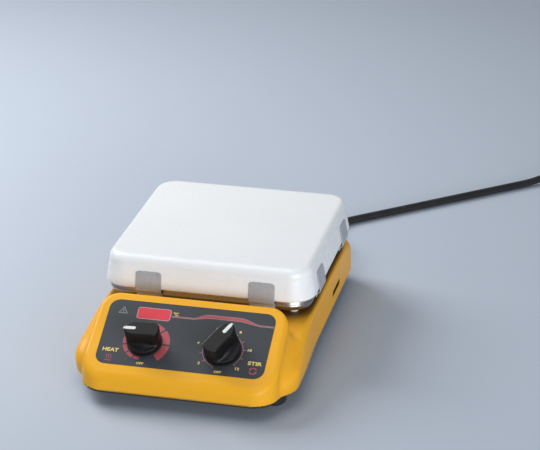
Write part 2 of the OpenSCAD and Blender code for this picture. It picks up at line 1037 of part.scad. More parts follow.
module motor_leads()
  color([0.7, 0.1, 0.1])
    for (i = [-1, 1])
      wire([
        [-12.7, 44 + 2 * i, stack_z + stack_h + 2],
        [-34 - 1.4 * i, 30 + 1.6 * i, stack_z + stack_h + 1],
        [-44 - 2 * i, 0.5 * i, 34],
        [-44 - 2 * i, -51, board_z + 2.6]
      ], 0.7, 0.9);

module ground_lead()
  color([0.2, 0.5, 0.2])
    wire([
      [56, 77, base_top + 6.2],
      [56, 77, base_top + 17],
      [56, 66, base_top + 17],
      [52, 50, base_top + 8],
      [40, 30, base_top + 8],
      [40, 30, base_top + 2.45]
    ], 0.9, 1.1);

// ---------------------------------------------------------------- cord

// Stations along the cord: straight out, down in two bends, then round a turn.
bend_steps = 3;
turn_steps = 4;

function drop_point(reach, fall) = [cord_x, reach, fall];

function along_run(reach, z) =
  [turn_end[0] + reach * sin(turn_deg), turn_end[1] + reach * cos(turn_deg), z];

function cord_points() = concat(
  [[cord_x, rear_reach - 20, cord_exit_z]],
  [for (i = [0 : bend_steps])
    let (a = drop_deg * i / bend_steps)
      drop_point(cord_drop_y + drop_r * sin(a), cord_exit_z - drop_r * (1 - cos(a)))],
  [for (i = [bend_steps - 1 : -1 : 0])
    let (a = drop_deg * i / bend_steps)
      drop_point(turn_y - drop_r * sin(a), cord_z + drop_r * (1 - cos(a)))],
  [for (i = [1 : turn_steps])
    let (a = turn_deg * i / turn_steps)
      [cord_x + turn_r * (1 - cos(a)), turn_y + turn_r * sin(a), cord_z]],
  [along_run(cord_run - plug_rise - 10, cord_z), along_run(cord_run - 10, plug_z), along_run(cord_run, plug_z)]
);

module power_cord()
  color([0.04, 0.04, 0.05])
    wire(cord_points(), cord_r, cord_r + 0.2);

// Children at the end of the cord, with x along its straight run.
module at_cord_end()
  translate(along_run(cord_run, plug_z))
    rotate([0, 0, 90 - turn_deg])
      children();

// Ribbed bush that grips the cord in the housing's back wall.
module strain_relief()
  color([0.05, 0.05, 0.05])
    translate([cord_x, rear_reach - 8, cord_exit_z])
      rotate([-90, 0, 0])
        difference() {
          union() {
            cylinder(h = 12, r = 6.9);
            translate([0, 0, 8.2])
              cylinder(h = 3, r = 9);
            translate([0, 0, 11])
              cylinder(h = 22, r1 = 6.8, r2 = 5);
          }
          translate([0, 0, -1])
            cylinder(h = 60, r = cord_r);
        }

plug_l = 34;
plug_w = 26;
plug_top = 13.5; // above the cord's centre
blade_y = 6.35;
blade_z = -4;
ground_z = 7.9;

module plug()
  color([0.05, 0.05, 0.05])
    at_cord_end()
      difference() {
        union() {
          rotate([0, 90, 0])
            cylinder(h = 14, r1 = 5.2, r2 = 9);
          translate([14, -plug_w / 2, -plug_z])
            cube([plug_l - 14, plug_w, plug_z + plug_top]);
        }
        for (s = [-1, 1])
          translate([plug_l - 8, s * blade_y - 0.8, blade_z - 3.2])
            cube([20, 1.6, 6.4]);
        translate([plug_l - 8, 0, ground_z])
          rotate([0, 90, 0])
            cylinder(h = 20, r = 2.4);
      }

module plug_pins()
  color([0.8, 0.7, 0.4])
    at_cord_end()
      translate([plug_l - 8, 0, 0]) {
        for (s = [-1, 1])
          translate([0, s * blade_y - 0.75, blade_z - 3.15])
            cube([24, 1.5, 6.3]);
        translate([0, 0, ground_z])
          rotate([0, 90, 0])
            cylinder(h = 27, r = 2.35);
      }

// ---------------------------------------------------------------- drawing

// Moves a part from heights above the bench to the shared frame.
module framed()
  translate([0, 0, -plate_top_z])
    children();

framed() housing();
framed() base_plate();
framed() feet();
framed() foot_screws();
framed() base_screws();
framed() vent_screens();
framed() control_panel();
framed() display_window();
framed() display_module();
framed() control_board();
framed() board_spacers();
framed() board_screws();
framed() heat_potentiometer();
framed() stir_potentiometer();
framed() control_nuts();
framed() heat_knob();
framed() heat_shaft();
framed() stir_knob();
framed() stir_shaft();
framed() top_plate();
framed() plate_clips();
framed() heater_pan();
framed() insulation();
framed() heating_element();
framed() temperature_probe();
framed() heat_shield();
framed() lower_spacers();
framed() upper_spacers();
framed() pan_screws();
framed() pan_nuts();
framed() power_board();
framed() power_board_spacers();
framed() transformer();
framed() capacitors();
framed() triac();
framed() heat_sink();
framed() terminal_block();
framed() fuse_holder();
framed() fuse();
framed() motor_bracket();
framed() stator_core();
framed() stator_coil();
framed() bearing_plates();
framed() motor_bearings();
framed() motor_bolts();
framed() bracket_screws();
framed() rotor();
framed() motor_shaft();
framed() magnet_carrier();
framed() drive_magnets();
framed() heater_leads();
framed() motor_leads();
framed() ground_lead();
framed() power_cord();
framed() strain_relief();
framed() plug();
framed() plug_pins();
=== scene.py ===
"""Looks for the magnetic stirrer: visible skins, materials, studio and camera round the CAD frame.

Shapes are worked out in millimetres, with heights above the bench, and moved to the row frame last.
"""

import json
import math

import bpy
import numpy as np
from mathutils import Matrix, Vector


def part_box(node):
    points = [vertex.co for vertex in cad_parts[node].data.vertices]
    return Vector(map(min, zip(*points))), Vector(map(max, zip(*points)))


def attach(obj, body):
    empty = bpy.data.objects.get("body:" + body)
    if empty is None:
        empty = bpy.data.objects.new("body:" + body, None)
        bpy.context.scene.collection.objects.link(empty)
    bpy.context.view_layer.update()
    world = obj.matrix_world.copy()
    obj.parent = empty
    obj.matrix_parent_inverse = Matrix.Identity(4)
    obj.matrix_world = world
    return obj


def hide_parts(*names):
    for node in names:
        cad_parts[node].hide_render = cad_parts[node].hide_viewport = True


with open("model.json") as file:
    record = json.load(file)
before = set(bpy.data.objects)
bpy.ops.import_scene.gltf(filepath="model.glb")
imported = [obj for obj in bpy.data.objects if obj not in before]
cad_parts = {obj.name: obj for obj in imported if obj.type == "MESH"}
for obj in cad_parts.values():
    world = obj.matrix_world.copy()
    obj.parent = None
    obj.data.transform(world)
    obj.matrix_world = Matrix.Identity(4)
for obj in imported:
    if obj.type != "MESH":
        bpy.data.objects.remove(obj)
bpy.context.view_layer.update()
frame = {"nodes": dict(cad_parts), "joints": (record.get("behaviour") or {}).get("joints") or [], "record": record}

MM = 0.001
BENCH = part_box("feet")[0].z

# ---- measures

RIM_Z = 15.0            # lower rim of the housing
DECK_Z = 50.0           # deck under the plate
WALL = 3.3              # of the housing
YELLOW_REACH = 0.9       # how far the yellow wraps into openings; deeper in, the inside gets near-black painted shade
DRAFT = 0.02            # inward lean of the lower walls per millimetre of height
LOWER_HALF = 100.0      # half-width of the lower body
FLARE_WIDE = 2.2        # how much wider it is beside the console
FLARE_BELLY = 2.4       # and how much its side swells there at half height
FLARE_DROP = 22.0       # how far its top falls toward the front
FLARE_START, FLARE_RUN = -105.0, 85.0   # where that fall begins and how far it runs
LOWER_FRONT, LOWER_REAR = -190.0, 112.0
LOWER_FRONT_R, LOWER_REAR_R = 26.0, 18.0
CONSOLE_HALF = 91.0
CONSOLE_FRONT, CONSOLE_REAR = -210.0, -119.5
CONSOLE_DRAFT = 0.055   # inward lean of its side and front walls
REAR_LEAN, REAR_LEAN_FROM = 0.167, 25.0   # and of its rear wall, from this height up
CONSOLE_FRONT_R, CONSOLE_REAR_R = 23.0, 18.0
CONSOLE_EDGE = 4.8      # radius round the sloping face
KNOB_ROW = -8.7         # knob axes, up the slope from the panel's centre
PANEL_W, PANEL_L, PANEL_R = 154.6, 69.6, 9.5
WINDOW_U, WINDOW_V, WINDOW_W, WINDOW_L, WINDOW_R = -34.7, 22.4, 30.0, 11.2, 1.8
BUSH_R = 4.8
DECK_HOLE_R = 58.0      # opening over the motor
VENT_Y, VENT_Z, VENT_LEN, VENT_H = 23.0, 28.0, 36.0, 5.6
VENT_INNER = 88.0       # how far in from the sides the slots are cut
CORD_R = 4.0
CORD_HOLE_R = 6.9
cord_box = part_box("strain_relief")
CORD_X = (cord_box[0].x + cord_box[1].x) / 2 / MM
CORD_EXIT_Z = ((cord_box[0].z + cord_box[1].z) / 2 - BENCH) / MM
SOFT_CUT = 0.6          # softness of the edges of holes
CUT_REACH = 9.0         # half-depth of a hole's tool
HOUSING_STEP = 1.5      # grid pitch of the housing's skin; a cell's diagonal stays under WALL
KNOB_STEP = 0.5
PLUG_STEP = 0.9

KNOB_LIFT = 0.8         # knob's underside above the panel
KNOB_TOP = 21.8         # above the knob's underside
KNOB_R = 16.2
KNOB_TIP = 17.3
GRIP_HALF = 7.5
NOSE_START = 7.5        # where the grip begins to narrow toward its tip
NOSE_SLOPE = 0.82       # slope of the field there
GRIP_DRAFT = 0.035      # how much the grip widens downward on each side
GRIP_END_X = 4.0        # behind this the grip's end is rounded
SKIRT_Z, SKIRT_RISE, SKIRT_FLAT_R = 5.4, 2.6, 6.5   # height at its edge, gain inward, where that ends
HOLLOW_R, HOLLOW_Z = 9.0, 3.5   # hollow under the skirt
LINE_START, LINE_HALF = 4.8, 1.6   # white pointer line along the top
HEAT_KNOB_SIZE, STIR_KNOB_SIZE = 0.94, 1.03   # width against the nominal knob


# ---- frame of the panel, from the joints

joints = {j["name"]: j for j in frame["joints"]}
knob_axis = joints["heat_turn"]["axis"]
TILT = math.atan2(-knob_axis[1], knob_axis[2])
COS_T, SIN_T = math.cos(TILT), math.sin(TILT)
KNOB_U = joints["stir_turn"]["pos_m"][0] / MM
PANEL_Y = joints["stir_turn"]["pos_m"][1] / MM - KNOB_ROW * COS_T
PANEL_Z = (joints["stir_turn"]["pos_m"][2] - BENCH) / MM - KNOB_ROW * SIN_T


def panel_point(u, v, w):
    """Bench coordinates of points given across, up and out of the sloping panel."""
    u, v, w = np.broadcast_arrays(np.asarray(u, float), np.asarray(v, float), np.asarray(w, float))
    return np.stack([u, PANEL_Y + v * COS_T - w * SIN_T, PANEL_Z + v * SIN_T + w * COS_T], -1)


def panel_frame(p):
    y, z = p[:, 1] - PANEL_Y, p[:, 2] - PANEL_Z
    return p[:, 0], y * COS_T + z * SIN_T, z * COS_T - y * SIN_T


# ---- materials


class Shader:
    """Adds nodes to one material. Values may be sockets or plain numbers and colours."""

    def __init__(self, name):
        self.material = bpy.data.materials.new(name)
        self.material.use_nodes = True
        self.tree = self.material.node_tree
        self.tree.nodes.clear()
        self.bsdf = self.add("ShaderNodeBsdfPrincipled")
        out = self.add("ShaderNodeOutputMaterial")
        self.tree.links.new(self.bsdf.outputs[0], out.inputs[0])
        self.coords = self.add("ShaderNodeTexCoord").outputs["Object"]
        self.height = None

    def add(self, kind, **settings):
        node = self.tree.nodes.new(kind)
        for key, value in settings.items():
            setattr(node, key, value)
        return node

    def put(self, socket, value):
        if isinstance(value, bpy.types.NodeSocket):
            self.tree.links.new(value, socket)
        elif isinstance(value, tuple) and len(value) == 3 and socket.type == "RGBA":
            socket.default_value = (*value, 1.0)
        else:
            socket.default_value = value

    def set(self, **values):
        names = {"color": "Base Color", "rough": "Roughness", "metal": "Metallic", "coat": "Coat Weight",
                 "coat_rough": "Coat Roughness", "specular": "Specular IOR Level", "sheen": "Sheen Weight",
                 "glow": "Emission Strength", "glow_color": "Emission Color"}
        for key, value in values.items():
            self.put(self.bsdf.inputs[names[key]], value)

    def texture(self, kind, scale, stretch=(1, 1, 1), **settings):
        mapping = self.add("ShaderNodeMapping")
        self.put(mapping.inputs["Vector"], self.coords)
        mapping.inputs["Scale"].default_value = stretch
        node = self.add(kind, **settings)
        self.put(node.inputs["Vector"], mapping.outputs[0])
        self.put(node.inputs["Scale"], scale)
        return node

    def noise(self, scale, detail=3.0, roughness=0.5, distortion=0.0, stretch=(1, 1, 1)):
        node = self.texture("ShaderNodeTexNoise", scale, stretch)
        self.put(node.inputs["Detail"], detail)
        self.put(node.inputs["Roughness"], roughness)
        self.put(node.inputs["Distortion"], distortion)
        return node.outputs[0]

    def cells(self, scale, feature="F1", stretch=(1, 1, 1)):
        return self.texture("ShaderNodeTexVoronoi", scale, stretch, feature=feature).outputs["Distance"]

    def bands(self, direction, scale, distortion=0.0):
        node = self.texture("ShaderNodeTexWave", scale, wave_type="BANDS", bands_direction=direction)
        self.put(node.inputs["Distortion"], distortion)
        return node.outputs[1]

    def remap(self, value, lo, hi, to_lo, to_hi):
        node = self.add("ShaderNodeMapRange")
        for socket, v in zip(node.inputs[:5], (value, lo, hi, to_lo, to_hi)):
            self.put(socket, v)
        return node.outputs[0]

    def math(self, operation, a, b):
        node = self.add("ShaderNodeMath", operation=operation)
        self.put(node.inputs[0], a)
        self.put(node.inputs[1], b)
        return node.outputs[0]

    def mix(self, factor, a, b):
        node = self.add("ShaderNodeMix", data_type="RGBA")
        self.put(node.inputs["Factor"], factor)
        self.put(node.inputs[6], a)
        self.put(node.inputs[7], b)
        return node.outputs[2]

    def edges(self, lo, hi):
        """1 on convex edges, 0 elsewhere."""
        pointiness = self.add("ShaderNodeNewGeometry").outputs["Pointiness"]
        return self.remap(pointiness, lo, hi, 0.0, 1.0)

    def crevices(self, reach, most):
        """Painted shade: up to most where other surfaces within reach hem this one in, 0 in the open."""
        node = self.add("ShaderNodeAmbientOcclusion", samples=8)
        node.inputs["Distance"].default_value = reach
        return self.remap(node.outputs["AO"], 0.3, 0.8, most, 0.0)

    def upward(self):
        """1 where the surface faces up."""
        normal = self.add("ShaderNodeNewGeometry").outputs["Normal"]
        split = self.add("ShaderNodeSeparateXYZ")
        self.put(split.inputs[0], normal)
        return self.remap(split.outputs[2], 0.35, 0.95, 0.0, 1.0)

    def bump(self, height, strength, distance):
        node = self.add("ShaderNodeBump")
        self.put(node.inputs["Height"], height)
        node.inputs["Strength"].default_value = strength
        node.inputs["Distance"].default_value = distance
        if self.height is not None:
            self.put(node.inputs["Normal"], self.height)
        self.height = node.outputs[0]
        self.put(self.bsdf.inputs["Normal"], self.height)


def shade(color, factor):
    return tuple(min(1.0, c * factor) for c in color)


def enamel(name):
    """Stoved yellow enamel: faint orange peel, soft gloss, a little dust and paler worn edges.

    Near-black painted shade fills the inside faces marked shaded_inside, and painted shade darkens the coves.
    """
    s = Shader(name)
    base = (0.88, 0.43, 0.022)
    tone = s.mix(s.noise(9, 3), shade(base, 0.93), shade(base, 1.04))
    tone = s.mix(s.remap(s.noise(60, 4, 0.7), 0.62, 0.8, 0.0, 0.18), tone, (0.74, 0.35, 0.03))
    worn = s.math("MULTIPLY", s.edges(0.53, 0.62), s.noise(90, 4))
    tone = s.mix(s.math("MULTIPLY", worn, 0.35), tone, (0.95, 0.66, 0.24))
    dust = s.math("MULTIPLY", s.upward(), s.remap(s.noise(35, 5, 0.65), 0.5, 0.85, 0.0, 0.16))
    tone = s.mix(dust, tone, (0.80, 0.52, 0.20))
    # Painted shade: the enamel goes dark brown in coves and under the plate, where light is hemmed in.
    tone = s.mix(s.crevices(0.03, 0.9), tone, (0.07, 0.032, 0.018))
    # Painted shade: faces marked shaded_inside (inside the slots, holes and under the rim) go near-black.
    inside_shade = s.add("ShaderNodeAttribute", attribute_name="shaded_inside").outputs["Fac"]
    tone = s.mix(inside_shade, tone, (0.02, 0.018, 0.016))
    s.set(color=tone, rough=s.remap(s.noise(25, 4), 0.2, 0.8, 0.34, 0.46), specular=0.14,
          coat=0.08, coat_rough=0.15)
    s.bump(s.noise(420, 2), 0.12, 0.0004)
    s.bump(s.noise(70, 2), 0.05, 0.001)
    return s.material


def glaze(name):
    """White glazed ceramic: cool white, faint rings and stains of use, fine scratches, glossy glaze."""
    s = Shader(name)
    base = (0.87, 0.892, 0.91)
    tone = s.mix(s.noise(7, 4), shade(base, 0.965), shade(base, 1.02))
    stain = s.remap(s.noise(28, 5, 0.65, 0.6), 0.6, 0.85, 0.0, 0.22)
    tone = s.mix(stain, tone, (0.66, 0.69, 0.71))
    speck = s.remap(s.cells(260), 0.0, 0.11, 0.35, 0.0)
    tone = s.mix(s.math("MULTIPLY", speck, s.remap(s.noise(40), 0.6, 0.7, 0.0, 1.0)), tone, (0.4, 0.39, 0.37))
    scratch = s.remap(s.noise(900, 2, 0.6, 0.3, (1, 0.03, 1)), 0.66, 0.74, 0.0, 1.0)
    s.set(color=tone, rough=s.remap(s.noise(18, 4), 0.3, 0.8, 0.24, 0.36), specular=0.4, coat=0.15,
          coat_rough=0.2)
    s.bump(s.noise(38, 2), 0.05, 0.002)
    s.bump(scratch, 0.02, 0.0002)
    return s.material


def sheet_metal(name, base, rough, brush, blotch, stretch=(1, 1, 1), metal=1.0):
    """Rolled sheet: brushed grain, blotches of tarnish, brighter edges."""
    s = Shader(name)
    grain = s.noise(brush, 3, 0.6, 0.0, stretch)
    tone = s.mix(grain, shade(base, 0.82), shade(base, 1.12))
    tone = s.mix(s.remap(s.noise(55, 5, 0.7), 0.35, 0.75, 0.0, blotch), tone, shade(base, 0.42))
    tone = s.mix(s.math("MULTIPLY", s.edges(0.54, 0.66), 0.5), tone, shade(base, 1.35))
    s.set(color=tone, metal=metal, rough=s.remap(s.noise(120, 4), 0.25, 0.75, rough * 0.75, rough * 1.35))
    s.bump(grain, 0.10, 0.0003)
    s.bump(s.noise(45, 3), 0.12, 0.0012)
    return s.material


def plastic(name, base, rough, grain=700, grain_depth=0.12, dust=0.12, gloss=0.5):
    """Moulded plastic: fine spark texture, dusty upper faces, lighter rubbed edges."""
    s = Shader(name)
    tone = s.mix(s.noise(16, 3), shade(base, 0.88), shade(base, 1.12))
    tone = s.mix(s.math("MULTIPLY", s.edges(0.53, 0.64), 0.4), tone, shade(base, 2.2))
    grey = tuple(0.5 * c + 0.10 for c in base)
    veil = s.math("MULTIPLY", s.upward(), s.remap(s.noise(80, 5, 0.7), 0.45, 0.8, 0.0, dust))
    s.set(color=s.mix(veil, tone, grey), specular=gloss,
          rough=s.remap(s.noise(60, 4), 0.25, 0.75, rough * 0.85, rough * 1.2))
    s.bump(s.noise(grain * 4, 2), grain_depth, 0.00015)
    s.bump(s.cells(grain), grain_depth * 0.5, 0.0001)
    return s.material


def rubber(name, base=(0.014, 0.014, 0.015), rough=0.5):
    """Black rubber or cord jacket: matt, faintly bloomed, with a fine skin."""
    s = Shader(name)
    bloom = s.remap(s.noise(42, 5, 0.7), 0.45, 0.8, 0.0, 0.3)
    s.set(color=s.mix(bloom, base, tuple(c + 0.05 for c in base)), specular=0.42,
          rough=s.remap(s.noise(90, 3), 0.3, 0.7, rough * 0.85, rough * 1.15), sheen=0.08)
    s.bump(s.noise(1600, 2), 0.18, 0.0002)
    s.bump(s.noise(160, 3), 0.10, 0.0004)
    return s.material


def printed(name, base, rough=0.42):
    """Screen-printed ink: slightly uneven cover and soft gloss."""
    s = Shader(name)
    cover = s.remap(s.noise(500, 4, 0.7), 0.3, 0.75, 0.86, 1.06)
    s.set(color=s.mix(cover, (0, 0, 0), base), rough=rough)
    s.bump(s.noise(2400, 2), 0.08, 0.0001)
    return s.material


def panel_film(name):
    """The label: satin grey film with a fine leather grain and light rubbed patches."""
    s = Shader(name)
    base = (0.040, 0.046, 0.053)
    tone = s.mix(s.noise(14, 4), shade(base, 0.9), shade(base, 1.12))
    haze = s.remap(s.noise(45, 5, 0.7), 0.5, 0.85, 0.0, 0.35)
    tone = s.mix(haze, tone, (0.062, 0.068, 0.075))
    s.set(color=tone, rough=s.remap(s.noise(30, 4), 0.3, 0.7, 0.42, 0.56), specular=0.3)
    s.bump(s.cells(1500), 0.16, 0.0001)
    s.bump(s.noise(300, 2), 0.05, 0.0003)
    return s.material


def window_film(name):
    """Red filter film over the display, with a faint painted glow."""
    s = Shader(name)
    base = (0.66, 0.035, 0.06)
    tone = s.mix(s.noise(60, 3), shade(base, 0.92), shade(base, 1.06))
    # The faint emission is a painted glow on the film.
    s.set(color=tone, rough=s.remap(s.noise(50, 3), 0.3, 0.7, 0.3, 0.4), specular=0.3, coat=0.1,
          coat_rough=0.15, glow=0.05, glow_color=base)
    s.bump(s.noise(200, 2), 0.04, 0.0003)
    return s.material


def board(name):
    """Circuit board: green resist over copper tracks."""
    s = Shader(name)
    tracks = s.remap(s.cells(180, "DISTANCE_TO_EDGE", (1, 1, 0.2)), 0.05, 0.09, 1.0, 0.0)
    tone = s.mix(tracks, (0.018, 0.105, 0.04), (0.05, 0.22, 0.08))
    s.set(color=tone, rough=0.35, coat=0.3)
    s.bump(tracks, 0.2, 0.0002)
    return s.material


def laminated(name):
    """Stack of core plates: fine lines across the stack, oily dark steel."""
    s = Shader(name)
    wave = s.bands("Z", 320.0)
    tone = s.mix(wave, (0.16, 0.16, 0.17), (0.34, 0.34, 0.35))
    tone = s.mix(s.remap(s.noise(50, 4), 0.5, 0.8, 0.0, 0.5), tone, (0.17, 0.11, 0.07))
    s.set(color=tone, metal=0.85, rough=0.45)
    s.bump(wave, 0.5, 0.0003)
    return s.material


def winding(name, base, metal):
    """Coil of wire or bonded stack: close parallel turns."""
    s = Shader(name)
    wave = s.bands("X", 420.0, 0.6)
    s.set(color=s.mix(wave, shade(base, 0.45), base), metal=metal, rough=0.36, coat=0.3)
    s.bump(wave, 0.6, 0.0004)
    return s.material


def fibrous(name, base):
    """Ceramic fibre board and mineral spacers: matt, speckled, felted."""
    s = Shader(name)
    tone = s.mix(s.noise(300, 5, 0.7), shade(base, 0.8), shade(base, 1.08))
    tone = s.mix(s.remap(s.noise(25, 4), 0.5, 0.8, 0.0, 0.4), tone, (0.55, 0.45, 0.33))
    s.set(color=tone, rough=0.88, specular=0.25)
    s.bump(s.noise(900, 4, 0.7), 0.5, 0.0005)
    return s.material


# Each material: how it is made, then what that maker takes after the name.
RECIPES = {
    "yellow_enamel": (enamel,),
    "white_ceramic": (glaze,),
    "panel_sheet": (panel_film,),
    "red_window": (window_film,),
    "knob_plastic": (plastic, (0.006, 0.006, 0.0065), 0.40, 900, 0.10, 0.04, 0.28),
    "black_rubber": (rubber,),
    "cord_jacket": (rubber, (0.012, 0.012, 0.013), 0.34),
    "black_moulding": (plastic, (0.014, 0.014, 0.015), 0.45),
    "black_sheet": (plastic, (0.018, 0.018, 0.019), 0.55, 500, 0.2),
    "steel_sheet": (sheet_metal, (0.46, 0.49, 0.53), 0.42, 260, 0.25, (1, 1, 0.1), 0.2),
    # Pan steel base darkened well below bright steel: painted shade for the strip under the plate's front edge.
    "bright_steel": (sheet_metal, (0.44, 0.41, 0.40), 0.30, 320, 0.22, (0.1, 0.1, 1)),
    "fastener_steel": (sheet_metal, (0.52, 0.52, 0.53), 0.34, 500, 0.3),
    "aluminium": (sheet_metal, (0.74, 0.75, 0.77), 0.30, 300, 0.12, (0.08, 1, 1)),
    "lamination": (laminated,),
    "copper_winding": (winding, (0.72, 0.27, 0.10), 0.9),
    "bronze": (sheet_metal, (0.62, 0.42, 0.19), 0.4, 700, 0.35),
    "ferrite": (plastic, (0.03, 0.03, 0.033), 0.62, 400, 0.3),
    "heater_alloy": (sheet_metal, (0.34, 0.27, 0.23), 0.5, 250, 0.5),
    "insulating_board": (fibrous, (0.78, 0.73, 0.63)),
    "circuit_board": (board,),
    "component_plastic": (plastic, (0.03, 0.032, 0.034), 0.45, 600, 0.15),
    "capacitor_sleeve": (plastic, (0.03, 0.05, 0.16), 0.3, 800, 0.05),
    "white_nylon": (plastic, (0.72, 0.71, 0.67), 0.45, 700, 0.1),
    "wire_sleeve": (plastic, (0.45, 0.03, 0.03), 0.4, 900, 0.05),
    "ground_wire": (winding, (0.10, 0.36, 0.08), 0.0),
    "fuse_glass": (plastic, (0.55, 0.6, 0.62), 0.08, 900, 0.02, 0.02, 0.8),
    "contact_brass": (sheet_metal, (0.66, 0.47, 0.20), 0.26, 400, 0.2, (0.1, 1, 1)),
    "ink_red": (printed, (0.42, 0.065, 0.08)),
    "ink_purple": (printed, (0.30, 0.06, 0.10)),
    "ink_yellow": (printed, (0.86, 0.64, 0.17)),
    "ink_grey": (printed, (0.30, 0.27, 0.28)),
    "ink_rose": (printed, (0.36, 0.16, 0.17)),
    "ink_pale": (printed, (0.50, 0.33, 0.32)),
    "ink_white": (printed, (0.80, 0.80, 0.79), 0.35),
}
MATERIALS = {name: make(name, *values) for name, (make, *values) in RECIPES.items()}

record_slots = {part["node"]: part["material_slot"] for part in frame["record"]["subparts"]}
for node_name, node_object in frame["nodes"].items():
    node_object.data.materials.clear()
    node_object.data.materials.append(MATERIALS[record_slots[node_name]])

# ---- mesh tools


def polar(radius, degrees):
    a = math.radians(degrees)
    return np.array([radius * math.cos(a), radius * math.sin(a)])


def turned(points, degrees):
    """Points turned about z."""
    c, s = polar(1, degrees)
    x, y, z = points.T
    return np.stack([x * c - y * s, x * s + y * c, z], -1)


def add_piece(name, points, faces, body, material, replaces=(), normals=None, sharp=None, slot=None):
    """Makes a mesh object from bench coordinates and rides it on a CAD body."""
    placed = np.array(points, float) * MM
    placed[:, 2] += BENCH
    mesh = bpy.data.meshes.new(name)
    mesh.from_pydata(placed.tolist(), [], [tuple(int(i) for i in face) for face in faces])
    mesh.update()
    mesh.polygons.foreach_set("use_smooth", np.ones(len(mesh.polygons), bool))
    if sharp is not None:
        mesh.set_sharp_from_angle(angle=math.radians(sharp))
    if normals is not None:
        mesh.normals_split_custom_set_from_vertices(np.asarray(normals, float).tolist())
    mesh.materials.append(MATERIALS[material])
    obj = bpy.data.objects.new(name, mesh)
    bpy.context.scene.collection.objects.link(obj)
    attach(obj, body)
    if replaces:
        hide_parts(*replaces)
    return obj


def join(parts):
    """Joins (points, faces) pairs into one."""
    points, faces, start = [], [], 0
    for part_points, part_faces in parts:
        points.append(np.asarray(part_points, float))
        faces += [tuple(i + start for i in face) for face in part_faces]
        start += len(part_points)
    return np.concatenate(points), faces


def loft(rings, wrap=False):
    """Skins a stack of equal closed rings and caps its ends, or with wrap joins the last to the first."""
    rings = np.asarray(rings, float)
    count, size = rings.shape[:2]
    faces = []
    for i in range(count if wrap else count - 1):
        a, b = i * size, ((i + 1) % count) * size
        for j in range(size):
            k = (j + 1) % size
            faces.append((a + j, a + k, b + k, b + j))
    if not wrap:
        faces.append(tuple(range(size - 1, -1, -1)))
        faces.append(tuple(range((count - 1) * size, count * size)))
    return rings.reshape(-1, 3), faces


CORNER_STEPS, SIDE_STEPS, FILLET_STEPS = 14, 10, 6


def square_ring(half, radius, z):
    """A square loop with round corners, counter-clockwise from above."""
    reach = half - radius
    side = [polar(radius, a) + reach for a in np.linspace(0, 90, CORNER_STEPS + 1)]
    side += [(x, half) for x in np.linspace(reach, -reach, SIDE_STEPS + 2)[1:-1]]
    side = np.array([(x, y, z) for x, y in side])
    return np.concatenate([turned(side, 90 * quarter) for quarter in range(4)])


def fillet_path(corners, radii):
    """A polyline whose inner corners are rounded with arcs of the given radii."""
    corners = [np.asarray(c, float) for c in corners]
    out = [corners[0]]
    for before, here, after, radius in zip(corners, corners[1:], corners[2:], radii):
        a, b = before - here, after - here
        a, b = a / np.linalg.norm(a), b / np.linalg.norm(b)
        angle = math.acos(np.clip(a @ b, -1, 1))
        reach = radius / math.tan(angle / 2)
        centre = here + (a + b) / np.linalg.norm(a + b) * radius / math.sin(angle / 2)
        start, end = here + a * reach - centre, here + b * reach - centre
        sweep = math.pi - angle
        for t in np.linspace(0, 1, FILLET_STEPS + 1):
            mixed = math.sin((1 - t) * sweep) * start + math.sin(t * sweep) * end
            out.append(centre + mixed / math.sin(sweep))
    out.append(corners[-1])
    return np.array(out)


def tube(path, section):
    """Sweeps a closed section (side, up) along a path without twist."""
    path = np.asarray(path, float)
    tangents = np.gradient(path, axis=0)
    tangents /= np.linalg.norm(tangents, axis=1)[:, None]
    up = np.array([0.0, 0.0, 1.0])
    rings = []
    for point, tangent in zip(path, tangents):
        side = np.cross(tangent, up)
        side /= np.linalg.norm(side)
        up = np.cross(side, tangent)
        rings.append(point + section[:, :1] * side + section[:, 1:] * up)
    return loft(rings)


def circle_outline(radius, count):
    angles = np.linspace(0, 2 * math.pi, count, endpoint=False)
    return np.stack([radius * np.cos(angles), radius * np.sin(angles)], -1)


def lathe(profile, count):
    """Turns (radius, height) pairs about z. The profile runs from the bottom up on the outside."""
    angles = np.linspace(0, 2 * math.pi, count, endpoint=False)
    return loft([[(r * math.cos(a), r * math.sin(a), z) for a in angles] for r, z in profile])


# ---- distance fields


def ease(lo, hi, x):
    t = np.clip((x - lo) / (hi - lo), 0, 1)
    return t * t * (3 - 2 * t)


def round_join(a, b, radius):
    """The larger of two distances, with the edge between them rounded."""
    return (np.minimum(np.maximum(a + radius, b + radius), 0)
            + np.hypot(np.maximum(a + radius, 0), np.maximum(b + radius, 0)) - radius)


def soft_union(a, b, k):
    h = np.maximum(k - np.abs(a - b), 0) / k
    return np.minimum(a, b) - h * h * k / 4


def soft_cut(a, b, k):
    """a without b, with a soft edge."""
    return -soft_union(-a, b, k)


def box_distance(x, y, half_x, half_y, radius):
    qx, qy = np.abs(x) - (half_x - radius), np.abs(y) - (half_y - radius)
    return np.hypot(np.maximum(qx, 0), np.maximum(qy, 0)) + np.minimum(np.maximum(qx, qy), 0) - radius


def gradient(field, points, reach):
    out = np.empty_like(points)
    for axis in range(3):
        offset = np.zeros(3)
        offset[axis] = reach
        out[:, axis] = (field(points + offset) - field(points - offset)) / (2 * reach)
    return out


def settle(field, points, reach, level=0.0, rounds=5, limit=1.0):
    """Moves points onto the field's level surface along its slope."""
    for _ in range(rounds):
        slope = gradient(field, points, reach)
        size = np.maximum((slope ** 2).sum(1), 0.05)
        move = slope * ((field(points) - level) / size)[:, None]
        length = np.linalg.norm(move, axis=1)[:, None]
        points = points - move * np.minimum(1.0, limit / np.maximum(length, 1e-9))
    return points


